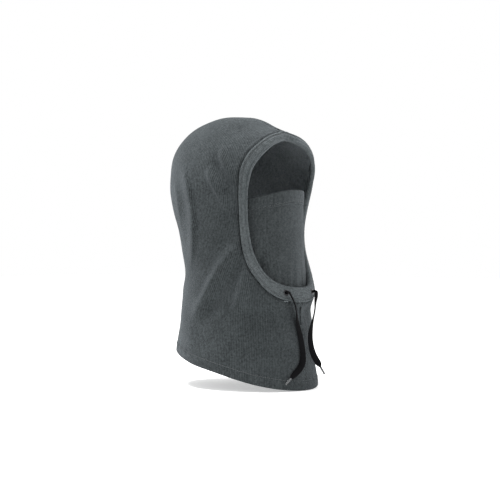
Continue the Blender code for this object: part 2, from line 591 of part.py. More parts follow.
def build():
    clear_scene()
    scene = bpy.context.scene
    parts = bpy.data.collections.new("balaclava")
    cutters = bpy.data.collections.new("cutters")
    scene.collection.children.link(parts)
    scene.collection.children.link(cutters)
    cutters.hide_render = True

    base = bpy.data.objects.new("hood", None)
    base.location = Vector((0, -CROWN_Y, -(CROWN_Z - FABRIC))) * MM
    parts.objects.link(base)

    def colour(name, shade, roughness=0.95, metallic=0.0, alpha=1.0):
        return make_material(name, shade, roughness, metallic, alpha)

    fleece = (0.075, 0.083, 0.087)
    pole, grid = panel_grid()
    normals = grid_normals(grid, np.array([0, 10, 200]))
    pole_out = unit(np.array([0, -0.45, 0.9]))
    put("left_side_panel", shell("left_side_panel", grid, normals, FABRIC, pole, pole_out),
        colour("left_side_panel", fleece), base, parts)
    put("right_side_panel",
        shell("right_side_panel", mirrored(grid), mirrored(normals), FABRIC,
              pole * (-1, 1, 1), pole_out), colour("right_side_panel", fleece), base, parts)

    casing = put("face_casing", casing_mesh(), colour("face_casing", (0.085, 0.093, 0.098)),
                 base, parts)
    punch_casing(casing, cutters)

    # stitching and seam allowances
    starts, ends = panel_rows()
    put("centre_seam_overlock", overlock_mesh("centre_seam_overlock", ends[1:-1]),
        colour("centre_seam_overlock", (0.06, 0.066, 0.07)), base, parts)
    put("front_seam_overlock",
        overlock_mesh("front_seam_overlock", starts[SEAM_STEPS + 1:-1]),
        colour("front_seam_overlock", (0.06, 0.066, 0.07)), base, parts)
    put("hem_stitching", thread_curve("hem_stitching", hem_stitch_points(), THREAD, True),
        colour("hem_stitching", (0.05, 0.055, 0.058), 0.7), base, parts)
    seam, across, out, width, _ = casing_frames(CASING_STEPS + 1)
    off = CASING_LEVELS[3] + GAP + THREAD + 0.2
    row = seam + across * 3.5 + out * off
    row[0, 0] = row[-1, 0] = 0
    ring = np.vstack([row, mirrored(row[-2:0:-1])])
    put("casing_stitching", thread_curve("casing_stitching", ring, THREAD, True),
        colour("casing_stitching", (0.05, 0.055, 0.058), 0.7), base, parts)

    # eyelets, their washers and the cord
    floor, tunnel_low, tunnel_high, roof = CASING_LEVELS
    for side, word in ((-1, "right"), (1, "left")):
        centre, normal, _, _ = eyelet_frame(side)
        low, seat = tunnel_high - 0.4, roof + GAP
        section = [(EYELET["bore"], low), (EYELET["barrel"], low),
                   (EYELET["barrel"], seat), (EYELET["flange"], seat),
                   (EYELET["flange"] - 0.2, seat + 0.5),
                   (EYELET["flange"] - 0.8, seat + EYELET["rim"]),
                   (EYELET["bore"] + 0.3, seat + 0.5), (EYELET["bore"], seat)]
        put(word + "_eyelet", lathe(word + "_eyelet", section, centre, normal),
            colour(word + "_eyelet", (0.03, 0.03, 0.032), 0.3, 0.9), base, parts)
        high = tunnel_high - GAP
        section = [(WASHER["bore"], high - WASHER["thick"]),
                   (WASHER["outer"], high - WASHER["thick"]), (WASHER["outer"], high),
                   (WASHER["bore"], high)]
        put(word + "_eyelet_washer",
            lathe(word + "_eyelet_washer", section, centre, normal),
            colour(word + "_eyelet_washer", (0.03, 0.03, 0.032), 0.35, 0.9), base, parts)
    put("casing_cord", casing_cord_mesh(), colour("casing_cord", (0.012, 0.012, 0.013), 0.8),
        base, parts)

    # free ends of the cord, each swinging from its eyelet
    for word, route in (("right", RIGHT_LACE), ("left", LEFT_LACE)):
        pivot = np.array(route[0][:3])
        hinge = bpy.data.objects.new(word + "_lace_hinge", None)
        hinge.parent = base
        hinge.location = Vector(pivot * MM)
        parts.objects.link(hinge)
        rings = np.array(ribbon_rings(route)) - pivot
        put(word + "_lace_end", loft(word + "_lace_end", rings),
            colour(word + "_lace_end", (0.012, 0.012, 0.013), 0.8), hinge, parts)
        tail, tip = np.array(route[-2][:3]), np.array(route[-1][:3])
        way = unit(tip - tail)
        start = tip + way * (GAP + 0.2) - pivot
        rings = []
        side = unit(np.cross(way, (0, 1, 0)))
        up = np.cross(side, way)
        for along, size in ((0, 1.0), (AGLET_LENGTH * 0.9, 0.95), (AGLET_LENGTH, 0.65)):
            rings.append([start + way * along + (side * math.cos(a) + up * math.sin(a))
                          * AGLET_RADIUS * size
                          for a in np.arange(10) * 2 * math.pi / 10])
        put(word + "_aglet", loft(word + "_aglet", rings),
            colour(word + "_aglet", (0.6, 0.62, 0.64), 0.15, 0.0, 0.6), hinge, parts)

    # mask
    def split(angle):
        return mask_top(angle) - MASK["hem"]

    def foot_height(angle):
        return mask_foot(angle)[2]

    panel = mask_grid(foot_height, lambda a: split(a) - GAP, MASK_ROWS)
    put("mask_panel", shell("mask_panel", panel, mask_normals(panel), MASK["thick"]),
        colour("mask_panel", fleece), base, parts)
    hem_empty = bpy.data.objects.new("mask_slide", None)
    hem_empty.parent = base
    hem_origin = np.array([0, MASK["centre_y"], MASK["top_front"] - MASK["hem"]])
    hem_empty.location = Vector(hem_origin * MM)
    parts.objects.link(hem_empty)
    hem = mask_grid(split, mask_top, 2)
    way = mask_normals(hem)
    hem = hem + way * 0.5
    put("mask_top_hem", shell("mask_top_hem", hem - hem_origin, way, MASK["hem_thick"]),
        colour("mask_top_hem", fleece), hem_empty, parts)
    low = mask_grid(lambda a: split(a) + 2.5, mask_top, 1)
    way = mask_normals(low)[0]
    row = (low[0] + way * (0.5 + GAP + THREAD + 0.15))[1:-1] - hem_origin
    put("mask_hem_stitching", thread_curve("mask_hem_stitching", row, THREAD),
        colour("mask_hem_stitching", (0.05, 0.055, 0.058), 0.7), hem_empty, parts)
    foot = panel[0] - mask_normals(panel)[0] * (MASK["thick"] + GAP + 1.6)
    foot[:, 2] += 1
    put("mask_seam_overlock", thread_curve("mask_seam_overlock", foot, 0.9),
        colour("mask_seam_overlock", (0.06, 0.066, 0.07)), base, parts)


build()
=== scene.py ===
import math

import bmesh
import bpy
import numpy as np
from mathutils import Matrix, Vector
from mathutils.bvhtree import BVHTree


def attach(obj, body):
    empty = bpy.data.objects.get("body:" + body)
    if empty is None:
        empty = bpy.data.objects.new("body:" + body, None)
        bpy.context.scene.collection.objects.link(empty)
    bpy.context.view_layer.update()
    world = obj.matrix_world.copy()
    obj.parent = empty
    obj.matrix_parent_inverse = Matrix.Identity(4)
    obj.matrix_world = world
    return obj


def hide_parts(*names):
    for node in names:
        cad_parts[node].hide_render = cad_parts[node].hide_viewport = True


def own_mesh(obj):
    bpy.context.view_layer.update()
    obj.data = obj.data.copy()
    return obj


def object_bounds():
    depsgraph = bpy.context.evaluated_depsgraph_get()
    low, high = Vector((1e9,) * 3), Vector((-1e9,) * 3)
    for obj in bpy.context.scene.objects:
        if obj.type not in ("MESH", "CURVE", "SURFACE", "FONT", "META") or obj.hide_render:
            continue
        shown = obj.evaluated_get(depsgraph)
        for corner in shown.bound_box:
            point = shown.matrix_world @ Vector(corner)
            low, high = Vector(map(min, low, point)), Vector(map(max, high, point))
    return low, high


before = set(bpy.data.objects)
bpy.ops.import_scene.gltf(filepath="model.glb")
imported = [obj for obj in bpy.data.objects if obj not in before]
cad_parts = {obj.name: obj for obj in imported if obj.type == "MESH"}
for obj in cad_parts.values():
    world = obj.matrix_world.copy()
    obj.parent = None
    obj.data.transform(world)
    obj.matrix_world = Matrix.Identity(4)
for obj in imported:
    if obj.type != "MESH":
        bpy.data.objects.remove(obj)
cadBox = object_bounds()

# Sizes below are millimetres; zero height is 10 mm below the hem, the face looks toward -Y.
worldShift = np.array([0, -16.0, -397.8])  # the frame's zero is inside the crown
mm = 0.001


def toWorld(points):
    return (np.asarray(points, float) + worldShift) * mm


def unit(v):
    return v / np.maximum(np.linalg.norm(v, axis=-1, keepdims=True), 1e-12)


def bell(distance, width):
    return np.exp(-(distance / width) ** 2)


def rampUp(value, low, high):
    t = np.clip((value - low) / (high - low), 0, 1)
    return t * t * (3 - 2 * t)


mirror = np.array([-1, 1, 1])  # turns the right side into the left

def addObject(name, data):
    made = bpy.data.objects.new(name, data)
    bpy.context.scene.collection.objects.link(made)
    return made

viewSettings = {"turn": 50, "distance": 1800, "height": 205.8, "across": 2.3, "lens": 88.8}


def addCamera():
    turn = math.radians(viewSettings["turn"])
    toward = np.array([-math.sin(turn), -math.cos(turn), 0])
    across = np.array([math.cos(turn), -math.sin(turn), 0])
    spot = toward * viewSettings["distance"] + across * viewSettings["across"]
    spot[2] = viewSettings["height"]
    data = bpy.data.cameras.new("hoodCamera")
    data.lens = viewSettings["lens"]
    camera = addObject("hoodCamera", data)
    camera.location = toWorld(spot)
    camera.rotation_euler = (math.pi / 2, 0, -turn)
    bpy.context.scene.camera = camera


addCamera()


class Nodes:
    def __init__(self, name, **fixed):
        self.material = bpy.data.materials.new(name)
        self.material.use_nodes = True
        self.tree = self.material.node_tree
        self.shader = self.tree.nodes["Principled BSDF"]
        for socket, value in fixed.items():
            self.shader.inputs[socket.replace("_", " ")].default_value = value
        self.place = self.add("TexCoord").outputs["Object"]

    def add(self, kind, **settings):
        node = self.tree.nodes.new("ShaderNode" + kind)
        for key, value in settings.items():
            setattr(node, key, value)
        return node

    def link(self, source, node, socket):
        self.tree.links.new(source, node.inputs[socket])

    def math(self, operation, first, second=0.0, third=0.0):
        node = self.add("Math", operation=operation)
        for k, value in enumerate((first, second, third)):
            if isinstance(value, (int, float)):
                node.inputs[k].default_value = value
            else:
                self.link(value, node, k)
        return node.outputs[0]

    def noise(self, scale, detail=3.0, roughness=0.6):
        node = self.add("TexNoise")
        self.link(self.place, node, "Vector")
        for socket, value in (("Scale", scale), ("Detail", detail), ("Roughness", roughness)):
            node.inputs[socket].default_value = value
        return node.outputs["Fac"]

    def wave(self, angle):
        return self.math("MULTIPLY_ADD", self.math("SINE", angle), 0.5, 0.5)

    def cloth(self):
        flat = self.add("SeparateXYZ")  # across and along the cloth
        self.link(self.add("UVMap", uv_map="cloth").outputs["UV"], flat, "Vector")
        return flat.outputs["X"], flat.outputs["Y"]

    def blend(self, *parts):
        total = None  # weighted sum of (weight, output) pairs
        for weight, output in parts:
            piece = self.math("MULTIPLY", output, weight)
            total = piece if total is None else self.math("ADD", total, piece)
        return total

    def colour(self, tone, stops):
        node = self.add("ValToRGB")
        self.link(tone, node, "Fac")
        band = node.color_ramp
        while len(band.elements) < len(stops):
            band.elements.new(0.5)
        for element, (place, shade) in zip(band.elements, stops):
            element.position, element.color = place, (*shade, 1)
        self.link(node.outputs["Color"], self.shader, "Base Color")

    def finish(self, dull, spread, height, depth, strength):
        rough, bump = self.add("MapRange"), self.add("Bump")
        self.link(dull, rough, "Value")
        rough.inputs["To Min"].default_value, rough.inputs["To Max"].default_value = spread
        self.link(rough.outputs["Result"], self.shader, "Roughness")
        self.link(height, bump, "Height")
        bump.inputs["Distance"].default_value = depth
        bump.inputs["Strength"].default_value = strength
        self.link(bump.outputs["Normal"], self.shader, "Normal")
        return self.material

fleeceLook = {"ribPitch": 2.3, "pile": 310, "grain": 760, "fibre": 2700, "patch": 38,
              "sheen": 0.15, "bump": 1.0}

def fleeceMaterial(name, dark, light, ribs=0.10):
    look = fleeceLook
    n = Nodes(name, Roughness=0.95, Sheen_Weight=look["sheen"], Sheen_Roughness=0.42,
              Sheen_Tint=(0.84, 0.92, 1.0, 1), Specular_IOR_Level=0.12)
    patch, pile = n.noise(look["patch"], 3, 0.55), n.noise(look["pile"], 3, 0.65)
    grain, fibre = n.noise(look["grain"], 4, 0.7), n.noise(look["fibre"], 2, 0.6)
    sway = n.math("MULTIPLY", n.noise(260, 2), 1.6)
    turns = 2 * math.pi / (look["ribPitch"] * mm)
    rib = n.wave(n.math("MULTIPLY_ADD", n.cloth()[0], turns, sway))
    tone = n.blend((0.12, patch), (0.36, pile), (0.44 - ribs, grain), (0.08, fibre), (ribs, rib))
    middle = [(a + b) / 2 for a, b in zip(dark, light)]
    n.colour(tone, [(0.40, dark), (0.5, middle), (0.60, light)])
    nap = n.blend((0.6, pile), (0.45, grain), (0.2, fibre), (0.3, rib))
    return n.finish(grain, (0.86, 1.0), nap, 0.0011, look["bump"])

def threadMaterial(name, dark, light):
    n = Nodes(name, Roughness=0.6, Sheen_Weight=0.25, Specular_IOR_Level=0.3)
    twist = n.noise(2400, 3, 0.7)
    n.colour(twist, [(0.3, dark), (0.7, light)])
    return n.finish(twist, (0.45, 0.8), twist, 0.0002, 0.6)

laceLook = {"braidPitch": 1.9, "strands": 6}

def laceMaterial():
    n = Nodes("blackBraid", Roughness=0.8, IOR=1.2, Specular_IOR_Level=0.1)
    wide, long = n.cloth()
    turns = 2 * math.pi / (laceLook["braidPitch"] * mm)
    column = n.math("MULTIPLY", wide, math.pi * laceLook["strands"])
    slant = n.math("MULTIPLY", n.math("SINE", column), 1.5)  # herringbone of the braid
    stitch = n.wave(n.math("MULTIPLY_ADD", long, turns, slant))
    rows = n.math("ABSOLUTE", n.math("SINE", column))
    tone = n.blend((0.45, stitch), (0.25, rows), (0.3, n.noise(1800, 3, 0.7)))
    n.colour(tone, [(0.3, (0.0012, 0.0012, 0.0014)), (0.8, (0.009, 0.009, 0.010))])
    return n.finish(tone, (0.85, 0.5), tone, 0.0005, 0.8)

def metalMaterial():
    n = Nodes("blackEnamelledMetal", Metallic=0.85, Coat_Weight=0.6, Coat_Roughness=0.08)
    wear = n.noise(900, 4, 0.65)
    n.colour(wear, [(0.35, (0.012, 0.012, 0.014)), (0.62, (0.03, 0.03, 0.034)),
                    (0.8, (0.16, 0.16, 0.17))])
    return n.finish(wear, (0.16, 0.42), wear, 0.00006, 0.3)

def clearMaterial():
    n = Nodes("clearPlastic", IOR=1.4, Transmission_Weight=0.45, Specular_IOR_Level=0.35)
    haze = n.noise(700, 3, 0.6)
    n.colour(haze, [(0.3, (0.10, 0.105, 0.11)), (0.7, (0.22, 0.225, 0.23))])
    return n.finish(haze, (0.06, 0.22), haze, 0.00005, 0.3)

def floorMaterial():
    n = Nodes("paleFloor", Roughness=0.85, Specular_IOR_Level=0.1,
              Emission_Color=(1, 1, 1, 1), Emission_Strength=0.42)
    n.colour(n.noise(3, 2), [(0.3, (0.86, 0.86, 0.86)), (0.7, (0.88, 0.88, 0.88))])
    return n.material

fleeceBody = fleeceMaterial("graphiteFleece", (0.0125, 0.0150, 0.0158), (0.049, 0.0565, 0.059))
# painted light: a copy of the body fleece about four times paler, standing in for light inside
# the shaded hood
fleeceInsidePaintedLight = fleeceMaterial("graphiteFleeceInsidePaintedLight", (0.095, 0.108, 0.114),
                              (0.20, 0.22, 0.23))
# painted light: the casing band is the same fleece, made about twice as pale to stand in for
# light and sheen on the band
fleeceBandPaintedLight = fleeceMaterial("graphiteFleeceBandPaintedLight", (0.034, 0.040, 0.042),
                            (0.098, 0.110, 0.114), 0.06)
fleeceMask = fleeceMaterial("graphiteFleeceMask", (0.016, 0.0190, 0.0200),
                            (0.055, 0.0625, 0.065))
seamThread = threadMaterial("greySewingThread", (0.022, 0.026, 0.028), (0.068, 0.076, 0.08))
blackBraid = laceMaterial()
blackMetal = metalMaterial()
clearPlastic = clearMaterial()
print("materials ready")


def spline(points, count):
    p = np.asarray(points, float)  # Catmull-Rom, mirrored in X beyond both ends
    if p.shape[1] == 3:
        p = np.vstack([p[1] * mirror, p, p[-2] * mirror])
    else:
        p = np.vstack([2 * p[0] - p[1], p, 2 * p[-1] - p[-2]])
    return catmull(p, np.linspace(0, len(p) - 3, count))


def catmull(p, at):
    out = []
    for u in at:
        i = min(int(u), len(p) - 4)
        t = u - i
        a, b, c, d = p[i:i + 4]
        out.append(0.5 * (2 * b + (c - a) * t + (2 * a - 5 * b + 4 * c - d) * t**2
                          + (3 * b - a - 3 * c + d) * t**3))
    return np.array(out)


def runOf(points):
    return np.concatenate([[0], np.cumsum(np.linalg.norm(np.diff(points, axis=0), axis=1))])


def even(points, count, keep=None):
    run = runOf(points)
    at = (np.linspace(0, 1, count) if keep is None else np.asarray(keep)) * run[-1]
    return np.stack([np.interp(at, run, points[:, k]) for k in range(points.shape[1])], 1)


def makePiece(name, points, faces, material, uvs=None, sharp=None):
    mesh = bpy.data.meshes.new(name)
    mesh.from_pydata([tuple(p) for p in toWorld(points)], [],
                     [tuple(int(k) for k in face) for face in faces])
    if uvs is not None:
        layer = mesh.uv_layers.new(name="cloth")
        corners = np.zeros(len(mesh.loops), dtype=int)
        mesh.loops.foreach_get("vertex_index", corners)
        layer.data.foreach_set("uv", np.asarray(uvs, float)[corners].ravel())
    work = bmesh.new()
    work.from_mesh(mesh)
    bmesh.ops.remove_doubles(work, verts=work.verts, dist=1e-6)
    bmesh.ops.recalc_face_normals(work, faces=work.faces)
    work.to_mesh(mesh)
    work.free()
    mesh.shade_smooth()
    if sharp:
        mesh.set_sharp_from_angle(angle=math.radians(sharp))
    mesh.materials.append(material)
    return addObject(name, mesh)


def loft(name, rings, material, uvs=None, closed=False, sharp=None):
    rings = np.asarray(rings, float)
    count, size = rings.shape[:2]
    faces = []
    for i in range(count if closed else count - 1):
        a, b = i * size, (i + 1) % count * size
        faces += [(a + k, a + (k + 1) % size, b + (k + 1) % size, b + k) for k in range(size)]
    if not closed:
        faces += [tuple(range(size)), tuple((count - 1) * size + k for k in range(size))]
    flat = None if uvs is None else np.asarray(uvs, float).reshape(-1, 2)
    return makePiece(name, rings.reshape(-1, 3), faces, material, flat, sharp)


def tube(name, points, radius, material, sides=8, closed=False):
    points = np.asarray(points, float)  # round thread through the points
    if closed:
        ahead = np.roll(points, -1, axis=0) - np.roll(points, 1, axis=0)
    else:
        ahead = np.gradient(points, axis=0)
    ahead = unit(ahead)
    side = unit(np.cross(ahead, np.array([0.13, 0.21, 0.97])))
    up = np.cross(side, ahead)
    around = np.arange(sides) * 2 * math.pi / sides
    ring = (side[:, None] * np.cos(around)[None, :, None]
            + up[:, None] * np.sin(around)[None, :, None])
    return loft(name, points[:, None] + ring * radius, material, closed=closed)


laces = {"width": 9.0, "thick": 1.4, "agletLength": 12.0, "agletRadius": 1.5,
         "rightLength": 0.142, "leftLength": 0.115}
# route below the eyelet: x, y, z, width, twist in degrees
rightRoute = [(-31.2, -98.2, 147.6, 4.2, 10), (-31.6, -101.2, 146.4, 4.6, 20),
              (-30.2, -103.4, 141.6, 5.6, 32), (-26, -103.6, 135.8, 7.4, 38),
              (-20.4, -102.6, 128.4, 8.8, 40), (-15.4, -100.8, 118.6, 9, 34),
              (-12.2, -99.8, 108.4, 9, 20), (-9.6, -99.6, 99.6, 9, 8),
              (-7.2, -99.9, 91.4, 9, 0), (-4.6, -100.5, 81.4, 9, -8),
              (-3.2, -101.6, 70.6, 9, -16), (-3.8, -103.4, 58.4, 9, -26),
              (-7, -105.2, 48.6, 9, -34), (-14, -106, 41, 9, -38),
              (-22.6, -105.4, 34.8, 8.8, -38), (-28.8, -104.4, 30.2, 6.6, -38),
              (-31.6, -103.8, 27.8, 3.2, -38)]
leftRoute = [(31.2, -98.2, 147.6, 4.2, -14), (30.6, -101, 145.8, 4.8, -14),
             (27.8, -102.8, 139.4, 6.4, -4), (26, -102.8, 130.4, 7.8, 24),
             (24.8, -102.4, 120.4, 8.8, 38), (22.4, -101.8, 109.4, 9, 30),
             (19.8, -101.4, 99.4, 9, 14), (16.8, -101.8, 90.6, 9, 0),
             (14.4, -102.8, 80.6, 9, -12), (14.2, -104.4, 70, 9, -20),
             (15.4, -106.4, 60.6, 9, -30), (18.2, -109, 52, 9, -38),
             (22, -111.4, 45, 8.2, -44), (24.2, -112.8, 40.6, 3.2, -46)]


def flatSection(width, thick, sides=20):
    around = np.arange(sides) * 2 * math.pi / sides  # rounded oblong with fuller edges
    wide = np.sign(np.cos(around)) * np.abs(np.cos(around)) ** 0.7
    tall = np.sign(np.sin(around)) * np.abs(np.sin(around)) ** 0.55
    edge = 1 + 0.16 * np.clip((np.abs(wide) - 0.7) / 0.2, 0, 1) * (np.abs(wide) < 0.97)
    return wide * width / 2, tall * edge * thick / 2


def laceRings(route, perSpan=7):
    route = spline(route, (len(route) - 1) * perSpan + 1)
    path = route[:, :3]
    ahead = unit(np.gradient(path, axis=0))
    run = runOf(path)
    rings, uvs = [], []
    for spot, tangent, s, (width, twist) in zip(path, ahead, run, route[:, 3:]):
        turn = math.radians(twist)
        wide = np.array([math.cos(turn), math.sin(turn), 0])
        wide = unit(wide - tangent * wide.dot(tangent))
        high = np.cross(tangent, wide)
        a, b = flatSection(width, laces["thick"] * (laces["width"] / width) ** 0.45)
        cup = 0.10 * width * (1 - (2 * a / width) ** 2)  # the tape cups a little
        rings.append(spot + np.outer(a, wide) + np.outer(b + (cup - 0.06 * width), high))
        uvs.append(np.column_stack([a / width, np.full(len(a), s * mm)]))
    return np.array(rings), np.array(uvs), path


def roundEnds(rings):
    first, last = rings[0].mean(0), rings[-1].mean(0)
    way = unit(rings[1].mean(0) - first), unit(last - rings[-2].mean(0))
    start = [first + (rings[0] - first) * k - way[0] * d for k, d in ((0.35, 1.0), (0.8, 0.6))]
    end = [last + (rings[-1] - last) * k + way[1] * d for k, d in ((0.8, 0.3), (0.35, 0.5))]
    return np.concatenate([start, rings, end])


def addLace(word, route):
    rings, uvs, path = laceRings(route)
    rings = roundEnds(rings)
    uvs = np.concatenate([uvs[:1], uvs[:1], uvs, uvs[-1:], uvs[-1:]])
    lace = loft(word + "_lace", rings, blackBraid, uvs)
    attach(lace, word + "_lace")
    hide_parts(word + "_lace_end")
    tail, tip = np.array(route[-2][:3]), np.array(route[-1][:3])
    way = unit(tip - tail)
    side = unit(np.cross(way, (0, 1, 0)))
    up = np.cross(side, way)
    around = np.arange(24) * 2 * math.pi / 24
    start = tip + way * 0.5
    radius, long = laces["agletRadius"], laces["agletLength"]
    profile = [(0.0, 0.9), (0.25, 1.0), (0.8, 1.0), (3.6, 0.99), (3.9, 0.93), (4.3, 0.93),
               (4.6, 0.99), (7.4, 0.98), (7.7, 0.92), (8.1, 0.92), (8.4, 0.97),
               (long * 0.9, 0.95), (long * 0.97, 0.84), (long, 0.62)]
    ring = side[None] * np.cos(around)[:, None] + up[None] * np.sin(around)[:, None]
    aglet = loft(word + "_aglet_sleeve",
                 [start + way * s + ring * radius * k for s, k in profile], clearPlastic)
    core = loft(word + "_aglet_core",
                [start + way * s + ring * (1 + 0.12 * np.sin(around * 5 + s))[:, None] * k
                 for s, k in ((-0.9, 0.8), (0.3, 1.15), (2, 1.08), (5, 0.92), (8, 0.74),
                              (9.6, 0.42), (10.2, 0.15))], blackBraid,
                [[(a / 7, s * mm) for a in around] for s in (-1, 0, 2, 5, 8, 9.6, 10.2)])
    for extra, slotName in ((aglet, "aglet_plastic"), (core, "lace")):
        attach(extra, word + "_lace")
    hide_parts(word + "_aglet")


addLace("right", rightRoute)
addLace("left", leftRoute)
print("laces ready")

hood = {"crownZ": 400.0, "crownY": 16.0, "domeZ": 290.0, "fabric": 2.2, "gap": 0.3,
        "hemSlope": 0.241, "hemFront": (-107.0, 10.0), "hemLine": 13.0, "hemPuff": 0.7,
        "hemLift": 2.5, "faceRows": 120, "neckRows": 46, "columns": 128}
# height, front, back, half width, widest point
profile = np.array([
    (-10, -108, 122, 90.5, 2), (20, -106, 121, 89.5, 2), (62, -98, 117.5, 87, 3),
    (104, -95.5, 106, 85, 3), (120, -94.5, 103, 84.5, 3), (133, -98.5, 101, 84.8, 3),
    (150, -101, 99, 86, 4), (174, -97, 92.5, 88.5, 5), (205, -86, 97, 92, 8),
    (235, -83, 102.5, 95.5, 12), (265, -90, 113.5, 98, 16), (290, -102, 120.5, 99, 18),
    (320, -121.4, 120.5, 99, 18), (340, -130.7, 120.5, 99, 18), (355, -119, 120.5, 99, 18),
    (365, -109, 120.5, 99, 18), (375, -96.6, 120.5, 99, 18), (400, -90, 120.5, 99, 18)], float)
# where casing and panels are sewn together, crown to chin: y, z
seamPoints = [(-63, 374.5), (-67, 370.5), (-67.5, 364), (-66, 355), (-60.5, 340), (-54, 320),
              (-50.5, 295), (-48, 275), (-46.5, 250), (-47, 225), (-50, 203), (-57.5, 181),
              (-68, 163), (-78, 148.5), (-87.5, 138.5), (-95, 133.5), (-98, 131.5)]
# the casing's folded edge, one point beside each seam point
rimPoints = [(0, -69, 361.3), (22, -74, 357), (34, -75.3, 353), (47, -74.5, 345),
             (60, -71, 333), (68.7, -65, 317), (69.3, -58, 294), (67, -54.2, 275),
             (64, -52.2, 250), (61.5, -54, 225), (59, -58, 204), (54.5, -64.5, 186),
             (48, -71.5, 172), (40, -79, 162.5), (29, -87.5, 156.5), (17, -92, 154),
             (0, -94, 153.2)]


def smoothTable(value, table, column):
    place, level = table[:, 0], table[:, column]
    step = np.diff(place)
    rise = np.diff(level) / step
    slope = np.zeros(len(place))
    slope[0] = rise[0]
    slope[1:-1] = (rise[:-1] * step[1:] + rise[1:] * step[:-1]) / (step[:-1] + step[1:])
    value = np.asarray(value, float)
    i = np.clip(np.searchsorted(place, value) - 1, 0, len(place) - 2)
    t = np.clip((value - place[i]) / step[i], 0, 1)
    return ((2 * t**3 - 3 * t**2 + 1) * level[i] + (t**3 - 2 * t**2 + t) * step[i] * slope[i]
            + (3 * t**2 - 2 * t**3) * level[i + 1] + (t**3 - t**2) * step[i] * slope[i + 1])


def outline(z):
    z = np.asarray(z, float)
    front, back, half, mid = (smoothTable(z, profile, c) for c in (1, 2, 3, 4))
    rise = np.clip((z - hood["domeZ"]) / (hood["crownZ"] - hood["domeZ"]), 0, 1)
    shrink = np.sqrt(np.clip(1 - rise**2, 0, 1))
    top = hood["crownY"]
    front = top + (front - top) * shrink**0.80
    back = top + (back - top) * shrink**0.84
    return front, back, half * shrink**0.88, top + (mid - top) * shrink


def sideX(y, z):
    front, back, half, mid = outline(z)
    y = np.asarray(y, float)
    reach = np.maximum(np.where(y < mid, mid - front, back - mid), 1e-6)
    return half * np.sqrt(np.clip(1 - ((y - mid) / reach) ** 2, 0, 1))


def wrapLength(y, z):
    front, back, half, mid = outline(z)  # cloth run from the widest line, front is minus
    reach = np.maximum(np.where(y < mid, mid - front, back - mid), 1e-6)
    return np.arcsin(np.clip((y - mid) / reach, -1, 1)) * (reach + half) / 2


def hemZ(y):
    return hood["hemFront"][1] + hood["hemSlope"] * (np.asarray(y, float)
                                                     - hood["hemFront"][0])


def hemRise(y):
    return hood["hemLift"] * bell(y + 12, 48)

def seamLine():
    side = spline(seamPoints, 401)
    side[0, 0], side[-1, 0] = outline(side[0, 1])[0], outline(side[-1, 1])[0]
    seam = np.column_stack([sideX(side[:, 0], side[:, 1]), side])
    seam[0, 0] = seam[-1, 0] = 0
    rim = spline(rimPoints, 401)
    at = np.linspace(0, runOf(seam + rim)[-1], 401)
    pair = np.hstack([seam, rim])
    pair = np.stack([np.interp(at, runOf(seam + rim), pair[:, k]) for k in range(6)], 1)
    return pair[:, :3], pair[:, 3:]


seam, rim = seamLine()


def centreLine():
    dome, crown = hood["domeZ"], hood["crownZ"]
    first = math.asin((seamPoints[0][1] - dome) / (crown - dome))
    z = dome + (crown - dome) * np.sin(np.linspace(first, math.pi / 2, 60))
    front = np.column_stack([outline(z)[0], z])
    z = dome + (crown - dome) * np.sin(np.linspace(math.pi / 2, 0, 90))
    back = np.column_stack([outline(z)[1], z])
    z = np.linspace(dome, 40, 200)
    nape = np.column_stack([outline(z)[1], z])
    nape = nape[nape[:, 1] > hemZ(nape[:, 0])]
    endZ = float(hemZ(nape[-1, 0]))
    nape = np.vstack([nape, (outline(endZ)[1], endZ)])
    return np.vstack([front, back[1:], nape[1:]])


def chinLine():
    foot = float(hemZ(outline(hood["hemFront"][1])[0]))
    z = np.linspace(seamPoints[-1][1], foot, 60)
    return np.column_stack([outline(z)[0], z])


def panelRows(faceRows, neckRows):
    face = even(seam, faceRows + 1)[:, 1:]
    neck = even(chinLine(), neckRows + 1)[1:]
    share = np.concatenate([
        np.interp(np.linspace(0, 1, faceRows + 1), [0, 0.36, 0.8, 1], [0, 0.45, 0.72, 0.8]),
        np.linspace(0.8, 1, neckRows + 1)[1:]])
    return np.vstack([face, neck]), even(centreLine(), 0, keep=share)


def panelGrid():
    starts, ends = panelRows(hood["faceRows"], hood["neckRows"])
    rows = []
    turn = (1 - np.cos(np.linspace(0, math.pi, 401))) / 2
    for start, end in zip(starts[1:], ends[1:]):
        side = start + (end - start) * turn[:, None]
        line = np.column_stack([sideX(side[:, 0], side[:, 1]), side])
        line[-1, 0] = 0
        rows.append(even(line, hood["columns"] + 1))
    grid = np.array(rows)
    grid[:, :, 0] = np.maximum(grid[:, :, 0], hood["gap"] / 2)
    return np.array([hood["gap"] / 2, starts[0][0], starts[0][1]]), grid


def surfaceNormals(grid, before, after):
    wide = np.concatenate([before, grid, after], axis=1)
    tall = np.concatenate([2 * grid[:1] - grid[1:2], grid, 2 * grid[-1:] - grid[-2:-1]])
    return unit(np.cross(wide[:, 2:] - wide[:, :-2], tall[2:] - tall[:-2]))

def gridNormals(grid, middle):
    before, after = 2 * grid[:, :1] - grid[:, 1:2], 2 * grid[:, -1:] - grid[:, -2:-1]
    before = np.where(np.abs(grid[:, :1, :1]) < hood["gap"], grid[:, 1:2] * mirror, before)
    after = np.where(np.abs(grid[:, -1:, :1]) < hood["gap"], grid[:, -2:-1] * mirror, after)
    normal = surfaceNormals(grid, before, after)
    away = np.einsum("ijk,ijk->ij", normal, grid - middle)
    return normal * np.sign(away)[:, :, None]

def gridFaces(at):
    return [(at[i, j], at[i, j + 1], at[i + 1, j + 1], at[i + 1, j])
            for i in range(at.shape[0] - 1) for j in range(at.shape[1] - 1)]

